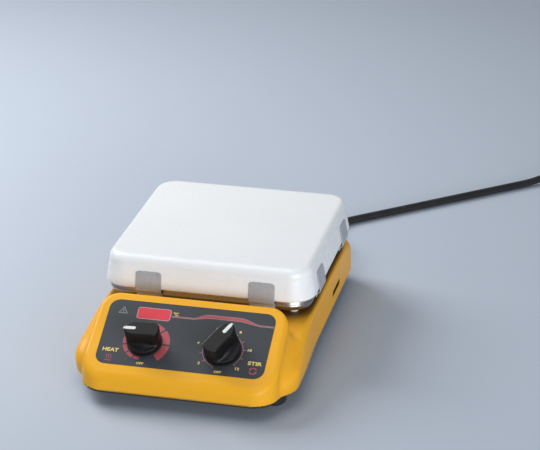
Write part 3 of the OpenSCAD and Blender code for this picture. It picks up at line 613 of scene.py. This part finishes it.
def skin(field, low, high, step):
    """Meshes where field is zero: one vertex to each mixed cell, then settled onto the surface."""
    low, high = np.asarray(low, float), np.asarray(high, float)
    counts = np.ceil((high - low) / step).astype(int) + 1
    grids = np.meshgrid(*[low[i] + step * np.arange(counts[i]) for i in range(3)], indexing="ij")
    samples = np.stack(grids, -1).reshape(-1, 3)
    values = np.concatenate([field(part) for part in np.array_split(samples, 12)]).reshape(counts)
    inside = values < 0
    cells = tuple(counts - 1)
    corner = [(i, j, k) for i in (0, 1) for j in (0, 1) for k in (0, 1)]

    def at(array, c):
        return array[c[0]:c[0] + cells[0], c[1]:c[1] + cells[1], c[2]:c[2] + cells[2]]

    total = np.zeros(cells, int)
    for c in corner:
        total += at(inside, c)
    mixed = (total > 0) & (total < 8)
    index = -np.ones(cells, int)
    index[mixed] = np.arange(mixed.sum())
    offset_sum = np.zeros((mixed.sum(), 3))
    crossings = np.zeros(mixed.sum())
    for a in corner:
        for axis in range(3):
            if a[axis]:
                continue
            b = tuple(1 if i == axis else a[i] for i in range(3))
            va, vb = at(values, a)[mixed], at(values, b)[mixed]
            cross = (va < 0) != (vb < 0)
            t = np.where(cross, va / np.where(cross, va - vb, 1.0), 0.0)
            place = np.tile(np.array(a, float), (len(t), 1))
            place[:, axis] += t
            offset_sum += place * cross[:, None]
            crossings += cross
    cell_index = np.argwhere(mixed)
    points = low + step * (cell_index + offset_sum / crossings[:, None])

    faces = []
    for axis in range(3):
        u, v = (axis + 1) % 3, (axis + 2) % 3
        first = np.take(inside, range(0, counts[axis] - 1), axis)
        second = np.take(inside, range(1, counts[axis]), axis)
        hits = np.argwhere(first != second)
        hits = hits[(hits[:, (u, v)] > 0).all(1) & (hits[:, (u, v)] < counts[[u, v]] - 1).all(1)]
        entering = first[tuple(hits.T)]
        quad = []
        for du, dv in ((-1, -1), (0, -1), (0, 0), (-1, 0)):
            cell = hits.copy()
            cell[:, u] += du
            cell[:, v] += dv
            quad.append(index[tuple(cell.T)])
        quad = np.stack(quad, -1)
        quad[~entering] = quad[~entering][:, ::-1]
        faces.append(quad)
    faces = np.concatenate(faces)
    reach = step * 0.08
    points = settle(field, points, reach, limit=step * 0.5)
    normals = gradient(field, points, reach)
    normals /= np.maximum(np.linalg.norm(normals, axis=1), 1e-9)[:, None]
    return points, faces.tolist(), normals


# ---- housing


def plan_distance(x, y, half, front, rear, front_r, rear_r):
    """Distance to a rectangle in plan whose front and rear corners have their own radii."""
    middle, reach = (front + rear) / 2, (rear - front) / 2
    radius = np.where(y < middle, front_r, rear_r)
    return box_distance(x, y - middle, half, reach, radius)


def lower_body(p):
    """Tray under the plate, with a flare either side of the console that falls toward the front."""
    x, y, z = p.T
    flare = 1 - ease(-150, -60, y)
    belly = np.maximum(1 - ((z - 27) / 14) ** 2, 0)
    lean = DRAFT * (z - RIM_Z)
    half = LOWER_HALF + flare * (FLARE_WIDE + FLARE_BELLY * belly) - lean
    side = plan_distance(x, y, half, LOWER_FRONT + lean, LOWER_REAR - lean, LOWER_FRONT_R, LOWER_REAR_R)
    fall = np.clip((FLARE_START - y) / FLARE_RUN, 0, 1) ** 1.8
    top = z - DECK_Z + FLARE_DROP * fall
    return round_join(side, top, 3.5 + 5 * flare + 13 * ease(60, 112, y))


def console_body(p):
    """Wedge that carries the sloping panel."""
    x, y, z = p.T
    lean = z - RIM_Z
    front = CONSOLE_FRONT + CONSOLE_DRAFT * lean
    rear = CONSOLE_REAR - REAR_LEAN * (z - REAR_LEAN_FROM)
    half = CONSOLE_HALF - CONSOLE_DRAFT * lean
    side = plan_distance(x, y, half, front, rear, CONSOLE_FRONT_R, CONSOLE_REAR_R)
    return round_join(side, panel_frame(p)[2], CONSOLE_EDGE)


def outer_housing(p):
    """Both forms with a cove between them that is tight low down and softer on top."""
    return soft_union(lower_body(p), console_body(p), 4.5 + 6.5 * ease(24, 46, p[:, 2]))


def housing_field(p):
    x, y, z = p.T
    outer = outer_housing(p)
    d = np.maximum(outer, -(outer + WALL))
    d = round_join(d, RIM_Z - z, SOFT_CUT)
    u, v, w = panel_frame(p)
    through = np.abs(w) - CUT_REACH
    for side in (-1, 1):
        d = soft_cut(d, np.maximum(np.hypot(u - side * KNOB_U, v - KNOB_ROW) - BUSH_R, through), SOFT_CUT)
    pane = box_distance(u - WINDOW_U, v - WINDOW_V, WINDOW_W / 2, WINDOW_L / 2, 1.0)
    d = soft_cut(d, np.maximum(pane, through), SOFT_CUT)
    d = soft_cut(d, np.maximum(np.hypot(x, y) - DECK_HOLE_R, np.abs(z - DECK_Z) - CUT_REACH), SOFT_CUT)
    straight = VENT_LEN / 2 - VENT_H / 2
    slot_gap = np.hypot(np.maximum(np.abs(y - VENT_Y) - straight, 0), z - VENT_Z) - VENT_H / 2
    d = soft_cut(d, np.maximum(slot_gap, VENT_INNER - np.abs(x)), 0.8)
    cord_gap = np.hypot(x - CORD_X, z - CORD_EXIT_Z) - CORD_HOLE_R
    return soft_cut(d, np.maximum(cord_gap, LOWER_REAR - 12 - y), SOFT_CUT)


points, faces, normals = skin(housing_field, (-108, -213, 12), (108, 115, 83), HOUSING_STEP)
shell = add_piece("housing_shell", points, faces, "base", "yellow_enamel", ["housing"], normals)
# Marks the inside faces that get near-black painted shade.
shaded_inside = shell.data.attributes.new("shaded_inside", "FLOAT", "POINT")
shaded_inside.data.foreach_set("value", (outer_housing(points) < -YELLOW_REACH).astype(float))

# ---- heated plate

plate_lo, plate_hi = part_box("top_plate")
PLATE_TOP = (plate_hi.z - BENCH) / MM
PLATE_LOW = (plate_lo.z - BENCH) / MM
PLATE_HALF = plate_hi.x / MM
CORNER_AT = PLATE_HALF - 24   # centre of every corner arc in plan
SIDE_TOP = (97.15, 87.5)      # where the side meets the soft upper edge
SIDE_LOW = PLATE_LOW + 2      # where it meets the rounded lower rim
RIM_R = 1.8
FLAT_HALF = 89.6              # where the upper edge meets the flat top


def heated_plate():
    """Upturned tray; profile as (half-width, height), from inside the rim round to the flat top."""
    profile = [(92.5, PLATE_LOW + 5.5), (92.6, PLATE_LOW + 1.4), (93.2, PLATE_LOW + 0.4), (94.2, PLATE_LOW)]
    for a in np.linspace(-90, 8, 8):
        c, s = polar(RIM_R, a)
        profile.append((PLATE_HALF - RIM_R + c, PLATE_LOW + RIM_R + s))
    for t in np.linspace(0.15, 0.9, 6):
        profile.append((PLATE_HALF + (SIDE_TOP[0] - PLATE_HALF) * t,
                        SIDE_LOW + (SIDE_TOP[1] - SIDE_LOW) * t))
    for a in np.linspace(0, 90, 14):
        c, s = polar(1, a)
        profile.append((FLAT_HALF + (SIDE_TOP[0] - FLAT_HALF) * c ** 0.9,
                        SIDE_TOP[1] + (PLATE_TOP - SIDE_TOP[1]) * s ** 0.95))
    rings = [square_ring(half, max(half - CORNER_AT, 0.5), z) for half, z in profile]
    top = rings[-1]
    for share in (0.96, 0.85, 0.65, 0.4, 0.15):
        rings.append(top * (share, share, 1))
    rings.insert(0, rings[0] * (1, 1, 0) + (0, 0, PLATE_TOP - 7.5))
    return loft(rings)


add_piece("heated_plate", *heated_plate(), "base", "white_ceramic", ["top_plate"], sharp=50)

# ---- pan wall, between plate and housing

PAN_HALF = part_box("heater_pan")[1].x / MM
PAN_R = 20.0


def pan_wall():
    """The pan's folded wall with a bead round it; profile as (beyond the pan's side, height)."""
    profile = [(0.05, 65.2), (0.05, 57.6), (-2.2, 56.6), (-2.0, 55.9), (0.1, 56.6), (0.75, 57.7),
               (0.95, 59.0), (1.5, 59.9), (1.55, 61.0), (0.95, 61.8), (0.65, 62.4), (0.65, 64.9), (0.5, 65.2)]
    return loft([square_ring(PAN_HALF + out, PAN_R + out, z) for out, z in profile], wrap=True)


# Its steel is darkened as painted shade for the strip under the plate's front edge.
add_piece("pan_wall", *pan_wall(), "base", "bright_steel", sharp=40)

# ---- plate clips

CLIP_W, CLIP_T, CLIP_PITCH, CLIP_CORNER = 24.4, 0.9, 107.6, 3.0
CLIP_BEVEL = 0.2


def clip_path():
    """Middle line of a clip as (distance from the centre, height), from its top edge to its tab."""
    lean = (PLATE_HALF - SIDE_TOP[0]) / (SIDE_TOP[1] - SIDE_LOW)
    gap = 0.3 + CLIP_T / 2
    top_z, turn_z, under_z, tab_z = 83.2, PLATE_LOW + 1.2, 62.8, 58.6
    outside = PLATE_HALF + gap + 0.1
    corners = [(outside - lean * (top_z - turn_z), top_z), (outside, turn_z), (outside, under_z),
               (PAN_HALF + 2.3, under_z), (PAN_HALF + 2.3, tab_z)]
    return fillet_path(corners, [3.0, 1.6, 1.0])


def resample(path, pitch):
    lengths = np.concatenate([[0], np.cumsum(np.linalg.norm(np.diff(path, axis=0), axis=1))])
    stations = np.linspace(0, lengths[-1], int(lengths[-1] / pitch) + 1)
    return np.stack([np.interp(stations, lengths, path[:, i]) for i in range(path.shape[1])], -1), stations


def clip():
    path, stations = resample(clip_path(), 0.7)
    tangents = np.gradient(path, axis=0)
    tangents /= np.linalg.norm(tangents, axis=1)[:, None]
    rings = []
    for point, tangent, s in zip(path, tangents, stations):
        normal = np.array([-tangent[1], tangent[0]])
        half = CLIP_W / 2
        if s < CLIP_CORNER:
            half -= CLIP_CORNER - math.sqrt(CLIP_CORNER ** 2 - (CLIP_CORNER - s) ** 2)
        thin = CLIP_T / 2
        in_half, in_thin = half - CLIP_BEVEL, thin - CLIP_BEVEL
        outline = [(-in_half, thin), (in_half, thin), (half, in_thin), (half, -in_thin),
                   (in_half, -thin), (-in_half, -thin), (-half, -in_thin), (-half, in_thin)]
        rings.append([(point[0] + n * normal[0], y, point[1] + n * normal[1]) for y, n in outline])
    return loft(rings)


def all_clips():
    points, faces = clip()
    parts = []
    for side in range(4):
        for shift in (-CLIP_PITCH / 2, CLIP_PITCH / 2):
            parts.append((turned(points + (0, shift, 0), 90 * side), faces))
    return join(parts)


add_piece("clip_set", *all_clips(), "base", "steel_sheet", ["plate_clips"], sharp=40)

# ---- knobs


def knob_field(p):
    """Pointer knob about z, its tip toward +x, its underside at z = 0."""
    x, y, z = p.T
    r = np.hypot(x, y)
    skirt_top = SKIRT_Z + SKIRT_RISE * (1 - ease(SKIRT_FLAT_R, KNOB_R - 1.0, r)) ** 1.4
    skirt = round_join(r - KNOB_R + 0.04 * z, z - skirt_top, 0.9)
    reach = np.clip((x - NOSE_START) / (KNOB_TIP - NOSE_START), 0, 1)
    half = GRIP_HALF * np.power(np.maximum(1 - reach ** 2, 0), 0.75) + GRIP_DRAFT * (KNOB_TOP - z)
    bar = (np.abs(y) - half) * np.where(x > NOSE_START, NOSE_SLOPE, 1.0)
    bar = np.maximum(bar, x - KNOB_TIP)
    rounded = round_join(bar, r - KNOB_R + 0.3 - 0.08 * z, 4.5)
    bar = np.where(x < GRIP_END_X, rounded, bar)
    grip = round_join(bar, z - KNOB_TOP, 1.3)
    d = soft_union(skirt, grip, 3.0)
    d = np.maximum(d, -z)
    return np.maximum(d, -np.maximum(r - HOLLOW_R, z - HOLLOW_Z))


def on_knob(points, angle, side):
    size = STIR_KNOB_SIZE if side > 0 else HEAT_KNOB_SIZE
    u, v, w = (turned(points, angle) * (size, size, 1)).T
    return panel_point(side * KNOB_U + u, KNOB_ROW + v, w + KNOB_LIFT)


def knob_directions(normals, angle):
    return panel_point(*turned(normals, angle).T) - panel_point(0, 0, 0)


def pointer_line():
    """White line along the grip's top and down its tip, wrapped onto the knob."""
    stations = [(LINE_START + 0.35 * i, KNOB_TOP) for i in range(34)]
    stations += [(KNOB_TIP - back, KNOB_TOP - down) for back, down in ((0.25, 0.3), (0.05, 0.9), (0, 1.8))]
    stations += [(KNOB_TIP, z) for z in np.linspace(KNOB_TOP - 3, 1.8, 16)]
    columns = np.linspace(-1, 1, 9)
    grid = []
    for x, z in stations:
        on_top = z > KNOB_TOP - 0.1
        half = (LINE_HALF if x < 15.2 else 0.9) if on_top else 1.5
        if x < LINE_START + LINE_HALF:
            half = math.sqrt(max(LINE_HALF ** 2 - (LINE_START + LINE_HALF - x) ** 2, 0.02))
        grid.append([(x, c * half, z) for c in columns])
    grid = np.array(grid)
    rows, cols = grid.shape[:2]
    flat = grid.reshape(-1, 3)
    outer = settle(knob_field, flat, 0.04, level=0.10, rounds=6, limit=0.4)
    inner = settle(knob_field, flat, 0.04, level=-0.25, rounds=6, limit=0.4)
    points = np.concatenate([outer, inner])
    below = rows * cols
    faces = []
    for i in range(rows - 1):
        for j in range(cols - 1):
            a, b = i * cols + j, (i + 1) * cols + j
            c, d = b + 1, a + 1
            faces.append((a, b, c, d))
            faces.append((d + below, c + below, b + below, a + below))
    rim = [(0, j) for j in range(cols)] + [(i, cols - 1) for i in range(1, rows)]
    rim += [(rows - 1, j) for j in range(cols - 2, -1, -1)] + [(i, 0) for i in range(rows - 2, 0, -1)]
    loop = [i * cols + j for i, j in rim]
    for a, b in zip(loop, loop[1:] + loop[:1]):
        faces.append((a, b, b + below, a + below))
    return points, faces


knob_points, knob_faces, knob_normals = skin(knob_field, (-19, -19, -1.5), (20, 19, 23.5), KNOB_STEP)
line_points, line_faces = pointer_line()


def rest_angle(node, side):
    """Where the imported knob's tip points, in degrees on the panel."""
    coords = np.array([v.co for v in frame["nodes"][node].data.vertices], float)
    coords[:, 2] -= BENCH
    u, v, _ = panel_frame(coords / MM)
    u, v = u - side * KNOB_U, v - KNOB_ROW
    far = np.hypot(u, v) > np.hypot(u, v).max() - 0.05
    return math.degrees(math.atan2(v[far].mean(), u[far].mean()))


for node, body, side in (("heat_knob", "heat_control", -1), ("stir_knob", "stir_control", 1)):
    angle = rest_angle(node, side)
    add_piece(node + "_body", on_knob(knob_points, angle, side), knob_faces, body, "knob_plastic", [node],
              knob_directions(knob_normals, angle))
    add_piece(node + "_line", on_knob(line_points, angle, side), line_faces, body, "ink_white", sharp=40,
              slot="knob_plastic")

# ---- panel and its print


def outline_mesh(loops, thickness, bevel=0.0):
    """Triangulated plate from closed loops (holes cut themselves), centred on z = 0."""
    curve = bpy.data.curves.new("outline", "CURVE")
    curve.dimensions = "2D"
    curve.fill_mode = "BOTH"
    curve.extrude = max(thickness / 2 - bevel, 0.0)
    curve.bevel_depth = bevel
    curve.bevel_resolution = 1
    for loop in loops:
        spline = curve.splines.new("POLY")
        spline.points.add(len(loop) - 1)
        for point, (x, y) in zip(spline.points, loop):
            point.co = (x, y, 0, 1)
        spline.use_cyclic_u = True
    return curve_mesh(curve)


def curve_mesh(curve):
    holder = bpy.data.objects.new("holder", curve)
    bpy.context.scene.collection.objects.link(holder)
    bpy.context.view_layer.update()
    mesh = bpy.data.meshes.new_from_object(holder.evaluated_get(bpy.context.evaluated_depsgraph_get()))
    points = np.array([v.co for v in mesh.vertices], float).reshape(-1, 3)
    faces = [tuple(p.vertices) for p in mesh.polygons]
    bpy.data.objects.remove(holder)
    bpy.data.curves.remove(curve)
    bpy.data.meshes.remove(mesh)
    return points, faces


def word_mesh(word, centre, width, height, boldness):
    curve = bpy.data.curves.new("word", "FONT")
    curve.body = word
    curve.size = 1.0
    curve.offset = boldness
    curve.resolution_u = 4
    curve.extrude = 0.05
    points, faces = curve_mesh(curve)
    lo, hi = points.min(0), points.max(0)
    scale = np.array([width, height, PRINT_T]) / (hi - lo)
    return (points - (lo + hi) / 2) * scale + (*centre, 0), faces


def rect_loop(cx, cy, w, l, r, steps=8):
    loop = []
    for quarter, (sx, sy) in enumerate(((1, 1), (-1, 1), (-1, -1), (1, -1))):
        for a in np.linspace(quarter * 90, quarter * 90 + 90, steps + 1):
            loop.append(polar(r, a) + (cx + sx * (w / 2 - r), cy + sy * (l / 2 - r)))
    return loop


def arc_loop(centre, start, end, inner, outer_start, outer_end):
    """Band between two angles whose outer radius changes evenly."""
    angles = np.linspace(start, end, max(int(abs(end - start) / ARC_PITCH), 2) + 1)
    outer = np.linspace(outer_start, outer_end, len(angles))
    out = [polar(r, a) + centre for a, r in zip(angles, outer)]
    return out + [polar(inner, a) + centre for a in angles[::-1]]


def stroke_loop(path, width):
    """Outline of a line of the given width along a path."""
    path = np.asarray(path, float)
    width = np.broadcast_to(np.asarray(width, float), len(path))[:, None]
    tangent = np.gradient(path, axis=0)
    tangent /= np.linalg.norm(tangent, axis=1)[:, None]
    normal = np.stack([-tangent[:, 1], tangent[:, 0]], -1)
    return list(path + normal * width / 2) + list((path - normal * width / 2)[::-1])


LABEL_TOP = 0.22        # label's face above the panel's plane
LABEL_T = 0.8
PRINT_T = 0.06
PRINT_TOP = LABEL_TOP + 0.035
ARC_PITCH = 3.0         # degrees between an arc's points, roughly
HEAT_HUB = np.array([-KNOB_U, KNOB_ROW])
STIR_HUB = np.array([KNOB_U, KNOB_ROW])


def on_label(name, meshes, material, top, slot="panel_sheet", replaces=()):
    points, faces = join(meshes)
    half = points[:, 2].max()
    placed = panel_point(points[:, 0], points[:, 1], points[:, 2] - half + top)
    add_piece(name, placed, faces, "base", material, replaces, sharp=35, slot=slot)


def print_on(name, loops, material, lift=0.0):
    on_label(name, [outline_mesh(group, PRINT_T) for group in loops], material, PRINT_TOP + lift)


label_loops = [rect_loop(0, 0, PANEL_W, PANEL_L, PANEL_R, 12)]
label_loops += [circle_outline(BUSH_R, 32) + hub for hub in (HEAT_HUB, STIR_HUB)]
on_label("label_film", [outline_mesh(label_loops, LABEL_T, 0.12)], "panel_sheet", LABEL_TOP,
         replaces=["control_panel"])
pane_loop = rect_loop(WINDOW_U, WINDOW_V, WINDOW_W, WINDOW_L, WINDOW_R)
on_label("display_pane", [outline_mesh([pane_loop], LABEL_T, 0.08)], "red_window", LABEL_TOP + 0.05,
         slot="red_window", replaces=["display_window"])
frame_loops = [rect_loop(WINDOW_U, WINDOW_V, WINDOW_W + 1.5, WINDOW_L + 1.5, WINDOW_R + 0.7),
               rect_loop(WINDOW_U, WINDOW_V, WINDOW_W + 0.2, WINDOW_L + 0.2, WINDOW_R)]
print_on("window_outline", [frame_loops], "ink_pale")

# Heat ring: nine segments that widen clockwise from OFF.
HEAT_START = 268
HEAT_SPANS = np.linspace(22, 48.9, 9)
HEAT_STOPS = np.concatenate([[HEAT_START], HEAT_START - np.cumsum(HEAT_SPANS)])
HEAT_GAP = 2.3          # degrees left bare at each end of a segment
HEAT_INNER, HEAT_OUTER, HEAT_GROWTH = 16.3, 19.0, 4.8


def heat_outer(angle):
    return HEAT_OUTER + HEAT_GROWTH * (HEAT_START - angle) / HEAT_SPANS.sum()


heat_loops = []
for a, b in zip(HEAT_STOPS, HEAT_STOPS[1:]):
    start, end = a - HEAT_GAP, b + HEAT_GAP
    heat_loops.append([arc_loop(HEAT_HUB, start, end, HEAT_INNER, heat_outer(start), heat_outer(end))])
print_on("heat_ring", heat_loops, "ink_red")

# Stirring dial: a thin arc from OFF round to 12, with a tick at every number and a hook at OFF.
DIAL_START, DIAL_END, DIAL_R = 251, -47, 18.2
TICK_STEP, TICK_FIRST, TICK_END_R, NUMBER_R = 26.6, 220.0, 20.8, 24.3
dial_loops = [[arc_loop(STIR_HUB, DIAL_START, DIAL_END, DIAL_R - 0.3, DIAL_R + 0.3, DIAL_R + 0.3)]]
for i in range(11):
    a = TICK_FIRST - i * TICK_STEP
    tick = [STIR_HUB + polar(r, a) for r in (DIAL_R + 0.1, TICK_END_R)]
    dial_loops.append([stroke_loop(tick, 0.7)])
hook = [STIR_HUB + polar(DIAL_R, DIAL_START), STIR_HUB + polar(20.4, DIAL_START + math.degrees(0.06))]
dial_loops.append([stroke_loop(hook, 0.6)])
print_on("stir_dial", dial_loops, "ink_rose")

# Words as (text, centre, width, height).
words = [("HEAT", (-65.2, -19.8), 14.8, 3.9), ("STIR", (67.6, -19.0), 13.0, 3.9),
         ("OFF", (-35.4, -31.2), 6.6, 2.5), ("OFF", (36.0, -31.6), 6.6, 2.4), ("°C", (-14.6, 24.6), 4.8, 3.8)]
for i, number in enumerate((2, 4, 6, 8, 10, 12)):
    wide = 1.9 if number < 10 else 3.6
    words.append((str(number), STIR_HUB + polar(NUMBER_R, TICK_FIRST - 2 * i * TICK_STEP), wide, 2.7))
on_label("panel_words", [word_mesh(*word, 0.03) for word in words], "ink_yellow", PRINT_TOP)

# Stripe across the label, from the window to the right edge.
stripe_u = np.linspace(WINDOW_U + WINDOW_W / 2 + 1.5, PANEL_W / 2 - 0.2, 120)   # height and width follow
stripe_v = 21.6 + 3.9 * ease(1, 17, stripe_u) - 4.5 * ease(44, 66, stripe_u)
stripe_t = 0.9 + 2.6 * ease(3, 14, stripe_u) - 2.5 * ease(46, 64, stripe_u)
stripe_path = np.stack([stripe_u, stripe_v], -1)
print_on("stripe_edge", [[stroke_loop(stripe_path, stripe_t + 0.7)]], "ink_grey")
print_on("stripe", [[stroke_loop(stripe_path, stripe_t)]], "ink_red", 0.02)


def wavy(u, low, high):
    v = np.linspace(low, high, 16)
    return np.stack([u + 0.55 * np.sin((v - low) / (high - low) * 2 * math.pi), v], -1)


heat_icon = [[stroke_loop(wavy(u, -29.4, -24.6), 0.75)] for u in (-67.4, -65.4, -63.4)]
heat_icon.append([stroke_loop([(-68.6, -31.2), (-62.2, -31.2)], 1.0)])
print_on("heat_symbol", heat_icon, "ink_purple")

STIR_ICON = np.array([67.2, -26.9])
stir_icon = []
for start in (20, 200):
    stir_icon.append([arc_loop(STIR_ICON, start, start + 125, 2.6, 3.7, 3.7)])
    head = ((1.7, start + 122), (4.7, start + 122), (3.1, start + 162))
    stir_icon.append([[STIR_ICON + polar(r, a) for r, a in head]])
print_on("stir_symbol", stir_icon, "ink_red")

TRIANGLE_U, TRIANGLE_V = -63.5, 22.6
triangle_icon = [[[polar(size, a) + (TRIANGLE_U, TRIANGLE_V) for a in (90, 210, 330)] for size in (5.0, 3.7)]]
for low, high in ((21.9, 24.3), (20.9, 21.5)):
    triangle_icon.append([stroke_loop([(TRIANGLE_U, low), (TRIANGLE_U, high)], 0.8)])
print_on("triangle_mark", triangle_icon, "ink_grey")

# ---- cord, bush and plug

# The cord leaves the back wall, drops to the bench in an S, turns sideways and runs straight to the plug.
DROP_R, DROP_Y = 50.0, 153.0
TURN_R, TURN_DEG = 40.0, 49.2
RUN = 300.0
PLUG_Z, PLUG_RISE = 13.0, 60.0
CORD_Z = CORD_R + 0.4
drop_a = math.acos(1 - (CORD_EXIT_Z - CORD_Z) / (2 * DROP_R))
turn_y = DROP_Y + 2 * DROP_R * math.sin(drop_a)
heading = np.array([*polar(1, 90 - TURN_DEG), 0])


def turn_point(a):
    return np.array([CORD_X + TURN_R * (1 - math.cos(a)), turn_y + TURN_R * math.sin(a), CORD_Z])


turn_end = turn_point(math.radians(TURN_DEG))


def cord_path():
    path = [(CORD_X, y, CORD_EXIT_Z) for y in np.linspace(96, DROP_Y - 3, 12)]
    for a in np.linspace(0, drop_a, 14):
        path.append((CORD_X, DROP_Y + DROP_R * math.sin(a), CORD_EXIT_Z - DROP_R * (1 - math.cos(a))))
    for a in np.linspace(drop_a, 0, 14)[1:]:
        path.append((CORD_X, turn_y - DROP_R * math.sin(a), CORD_Z + DROP_R * (1 - math.cos(a))))
    path += [turn_point(a) for a in np.radians(np.linspace(0, TURN_DEG, 18))[1:]]
    for reach in np.linspace(6, RUN + 10, 70):
        rise = (PLUG_Z - CORD_Z) * ease(RUN - PLUG_RISE - 20, RUN, reach)
        path.append(turn_end + heading * reach + (0, 0, rise))
    return np.array(path)


points, faces = tube(cord_path(), circle_outline(CORD_R, 22))
add_piece("cord", points, faces, "base", "cord_jacket", ["power_cord"], sharp=60)


RIBS, RIB_PITCH, RIB_START = 6, 3.6, 4.2
RIB_R, RIB_TAPER = 6.7, 0.26    # first rib's radius and how much each next one loses
BORE_R = 4.05


def bush():
    """Ribbed bush as a (radius, distance behind the housing) profile."""
    profile = [(BORE_R, -4), (6.8, -4), (6.8, 0.2), (8.6, 0.2),
               (9.0, 0.7), (9.0, 2.6), (8.5, 3.1), (7.3, 3.2)]
    rib = [(1.0, 0.0), (1.0, 0.9), (0.0, 1.2), (0.0, 2.9), (0.9, 3.3)]
    for i in range(RIBS):
        r = RIB_R - RIB_TAPER * i
        profile += [(r - inward, RIB_START + RIB_PITCH * i + along) for inward, along in rib]
    profile += [(4.9, 26.6), (BORE_R, 26.8)]
    points, faces = lathe(profile, 36)
    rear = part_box("housing")[1].y / MM
    return np.stack([points[:, 0] + CORD_X, points[:, 2] + rear, -points[:, 1] + CORD_EXIT_Z], -1), faces


add_piece("cord_bush", *bush(), "base", "black_moulding", ["strain_relief"], sharp=35)


PLUG_MIDDLE = 24.0      # of the plug's body, from the cord's end of its neck
PLUG_HALF = 13.0
NECK_R, NECK_GAIN = 5.4, 4.4
GROOVE_PITCH, GROOVE_DEPTH = 3.4, 0.55
WAIST_R = 12.2          # finger hollows either side


def plug_field(p):
    """Waisted plug body with a ribbed neck, along +x."""
    x, y, z = p.T
    outline = box_distance(y, z - 0.2, PLUG_HALF, PLUG_HALF + 0.2, 5.5)
    body = round_join(outline, np.abs(x - PLUG_MIDDLE) - 10, 2.0)
    neck_r = NECK_R + NECK_GAIN * ease(0, 15, x)
    grooves = GROOVE_DEPTH * (np.sin(x * 2 * math.pi / GROOVE_PITCH) > 0.2) * (x < 12)
    neck = np.maximum(np.hypot(y, z) - neck_r + grooves, np.abs(x - 9) - 9)
    waist = np.hypot(x - PLUG_MIDDLE, np.abs(y) - 24) - WAIST_R
    return soft_cut(soft_union(body, neck, 3.0), waist, 2.0)


points, faces, normals = skin(plug_field, (-2, -15, -15), (36, 15, 15), PLUG_STEP)


def at_cord_end(local):
    across = np.array([-heading[1], heading[0], 0])
    end = turn_end + heading * RUN
    end[2] = PLUG_Z
    return end + local[:, :1] * heading + local[:, 1:2] * across + local[:, 2:] * np.array([0, 0, 1.0])


add_piece("plug_body", at_cord_end(points), faces, "base", "black_moulding", ["plug"],
          at_cord_end(normals) - at_cord_end(np.zeros((1, 3))))

# ---- studio and camera


FLOOR_HALF = 4.0
LENS, SENSOR = 134.68, 36.0
AZIMUTH, ELEVATION, DISTANCE = math.radians(13.09), math.radians(23.35), 1.93084
AIM = Vector((0.03844, 0.0, 0.09782 + BENCH))


def floor():
    mesh = bpy.data.meshes.new("floor")
    corners = [(x * FLOOR_HALF, y * FLOOR_HALF, BENCH) for x, y in ((-1, -1), (1, -1), (1, 1), (-1, 1))]
    mesh.from_pydata(corners, [], [(0, 1, 2, 3)])
    s = Shader("floor")
    tone = s.mix(s.noise(2, 2), (0.46, 0.515, 0.60), (0.48, 0.54, 0.63))
    s.set(color=tone, rough=0.55, specular=0.3)
    mesh.materials.append(s.material)
    obj = bpy.data.objects.new("floor", mesh)
    bpy.context.scene.collection.objects.link(obj)


def area_light(name, place, aim, size, power, color):
    data = bpy.data.lights.new(name, "AREA")
    data.shape = "RECTANGLE"
    data.size, data.size_y = size
    data.energy = power
    data.color = color
    obj = bpy.data.objects.new(name, data)
    obj.location = place
    obj.rotation_euler = (Vector(aim) - Vector(place)).to_track_quat("-Z", "Y").to_euler()
    bpy.context.scene.collection.objects.link(obj)


floor()
area_light("key", (-0.95, 0.42, 0.85), (-0.08, 0.05, 0), (0.8, 0.8), 17, (1.0, 0.985, 0.965))
area_light("top", (-0.1, -0.25, 1.9), (0, 0, 0), (1.4, 1.4), 9, (0.97, 0.985, 1.0))
area_light("front", (1.35, -1.95, 0.36), (0, -0.1, 0), (1.6, 0.8), 36, (0.98, 0.99, 1.0))

world = bpy.data.worlds.new("studio")
bpy.context.scene.world = world
world.use_nodes = True
sky = world.node_tree.nodes["Background"]
sky.inputs["Color"].default_value = (0.88, 0.93, 1.0, 1)
sky.inputs["Strength"].default_value = 0.24
bpy.context.scene.view_settings.view_transform = "Standard"

camera_data = bpy.data.cameras.new("camera")
camera_data.lens = LENS
camera_data.sensor_width = SENSOR
camera = bpy.data.objects.new("camera", camera_data)
level = math.cos(ELEVATION)
back = Vector((math.sin(AZIMUTH) * level, -math.cos(AZIMUTH) * level, math.sin(ELEVATION)))
camera.location = AIM + back * DISTANCE
camera.rotation_euler = (-back).to_track_quat("-Z", "Y").to_euler()
bpy.context.scene.collection.objects.link(camera)
bpy.context.scene.camera = camera
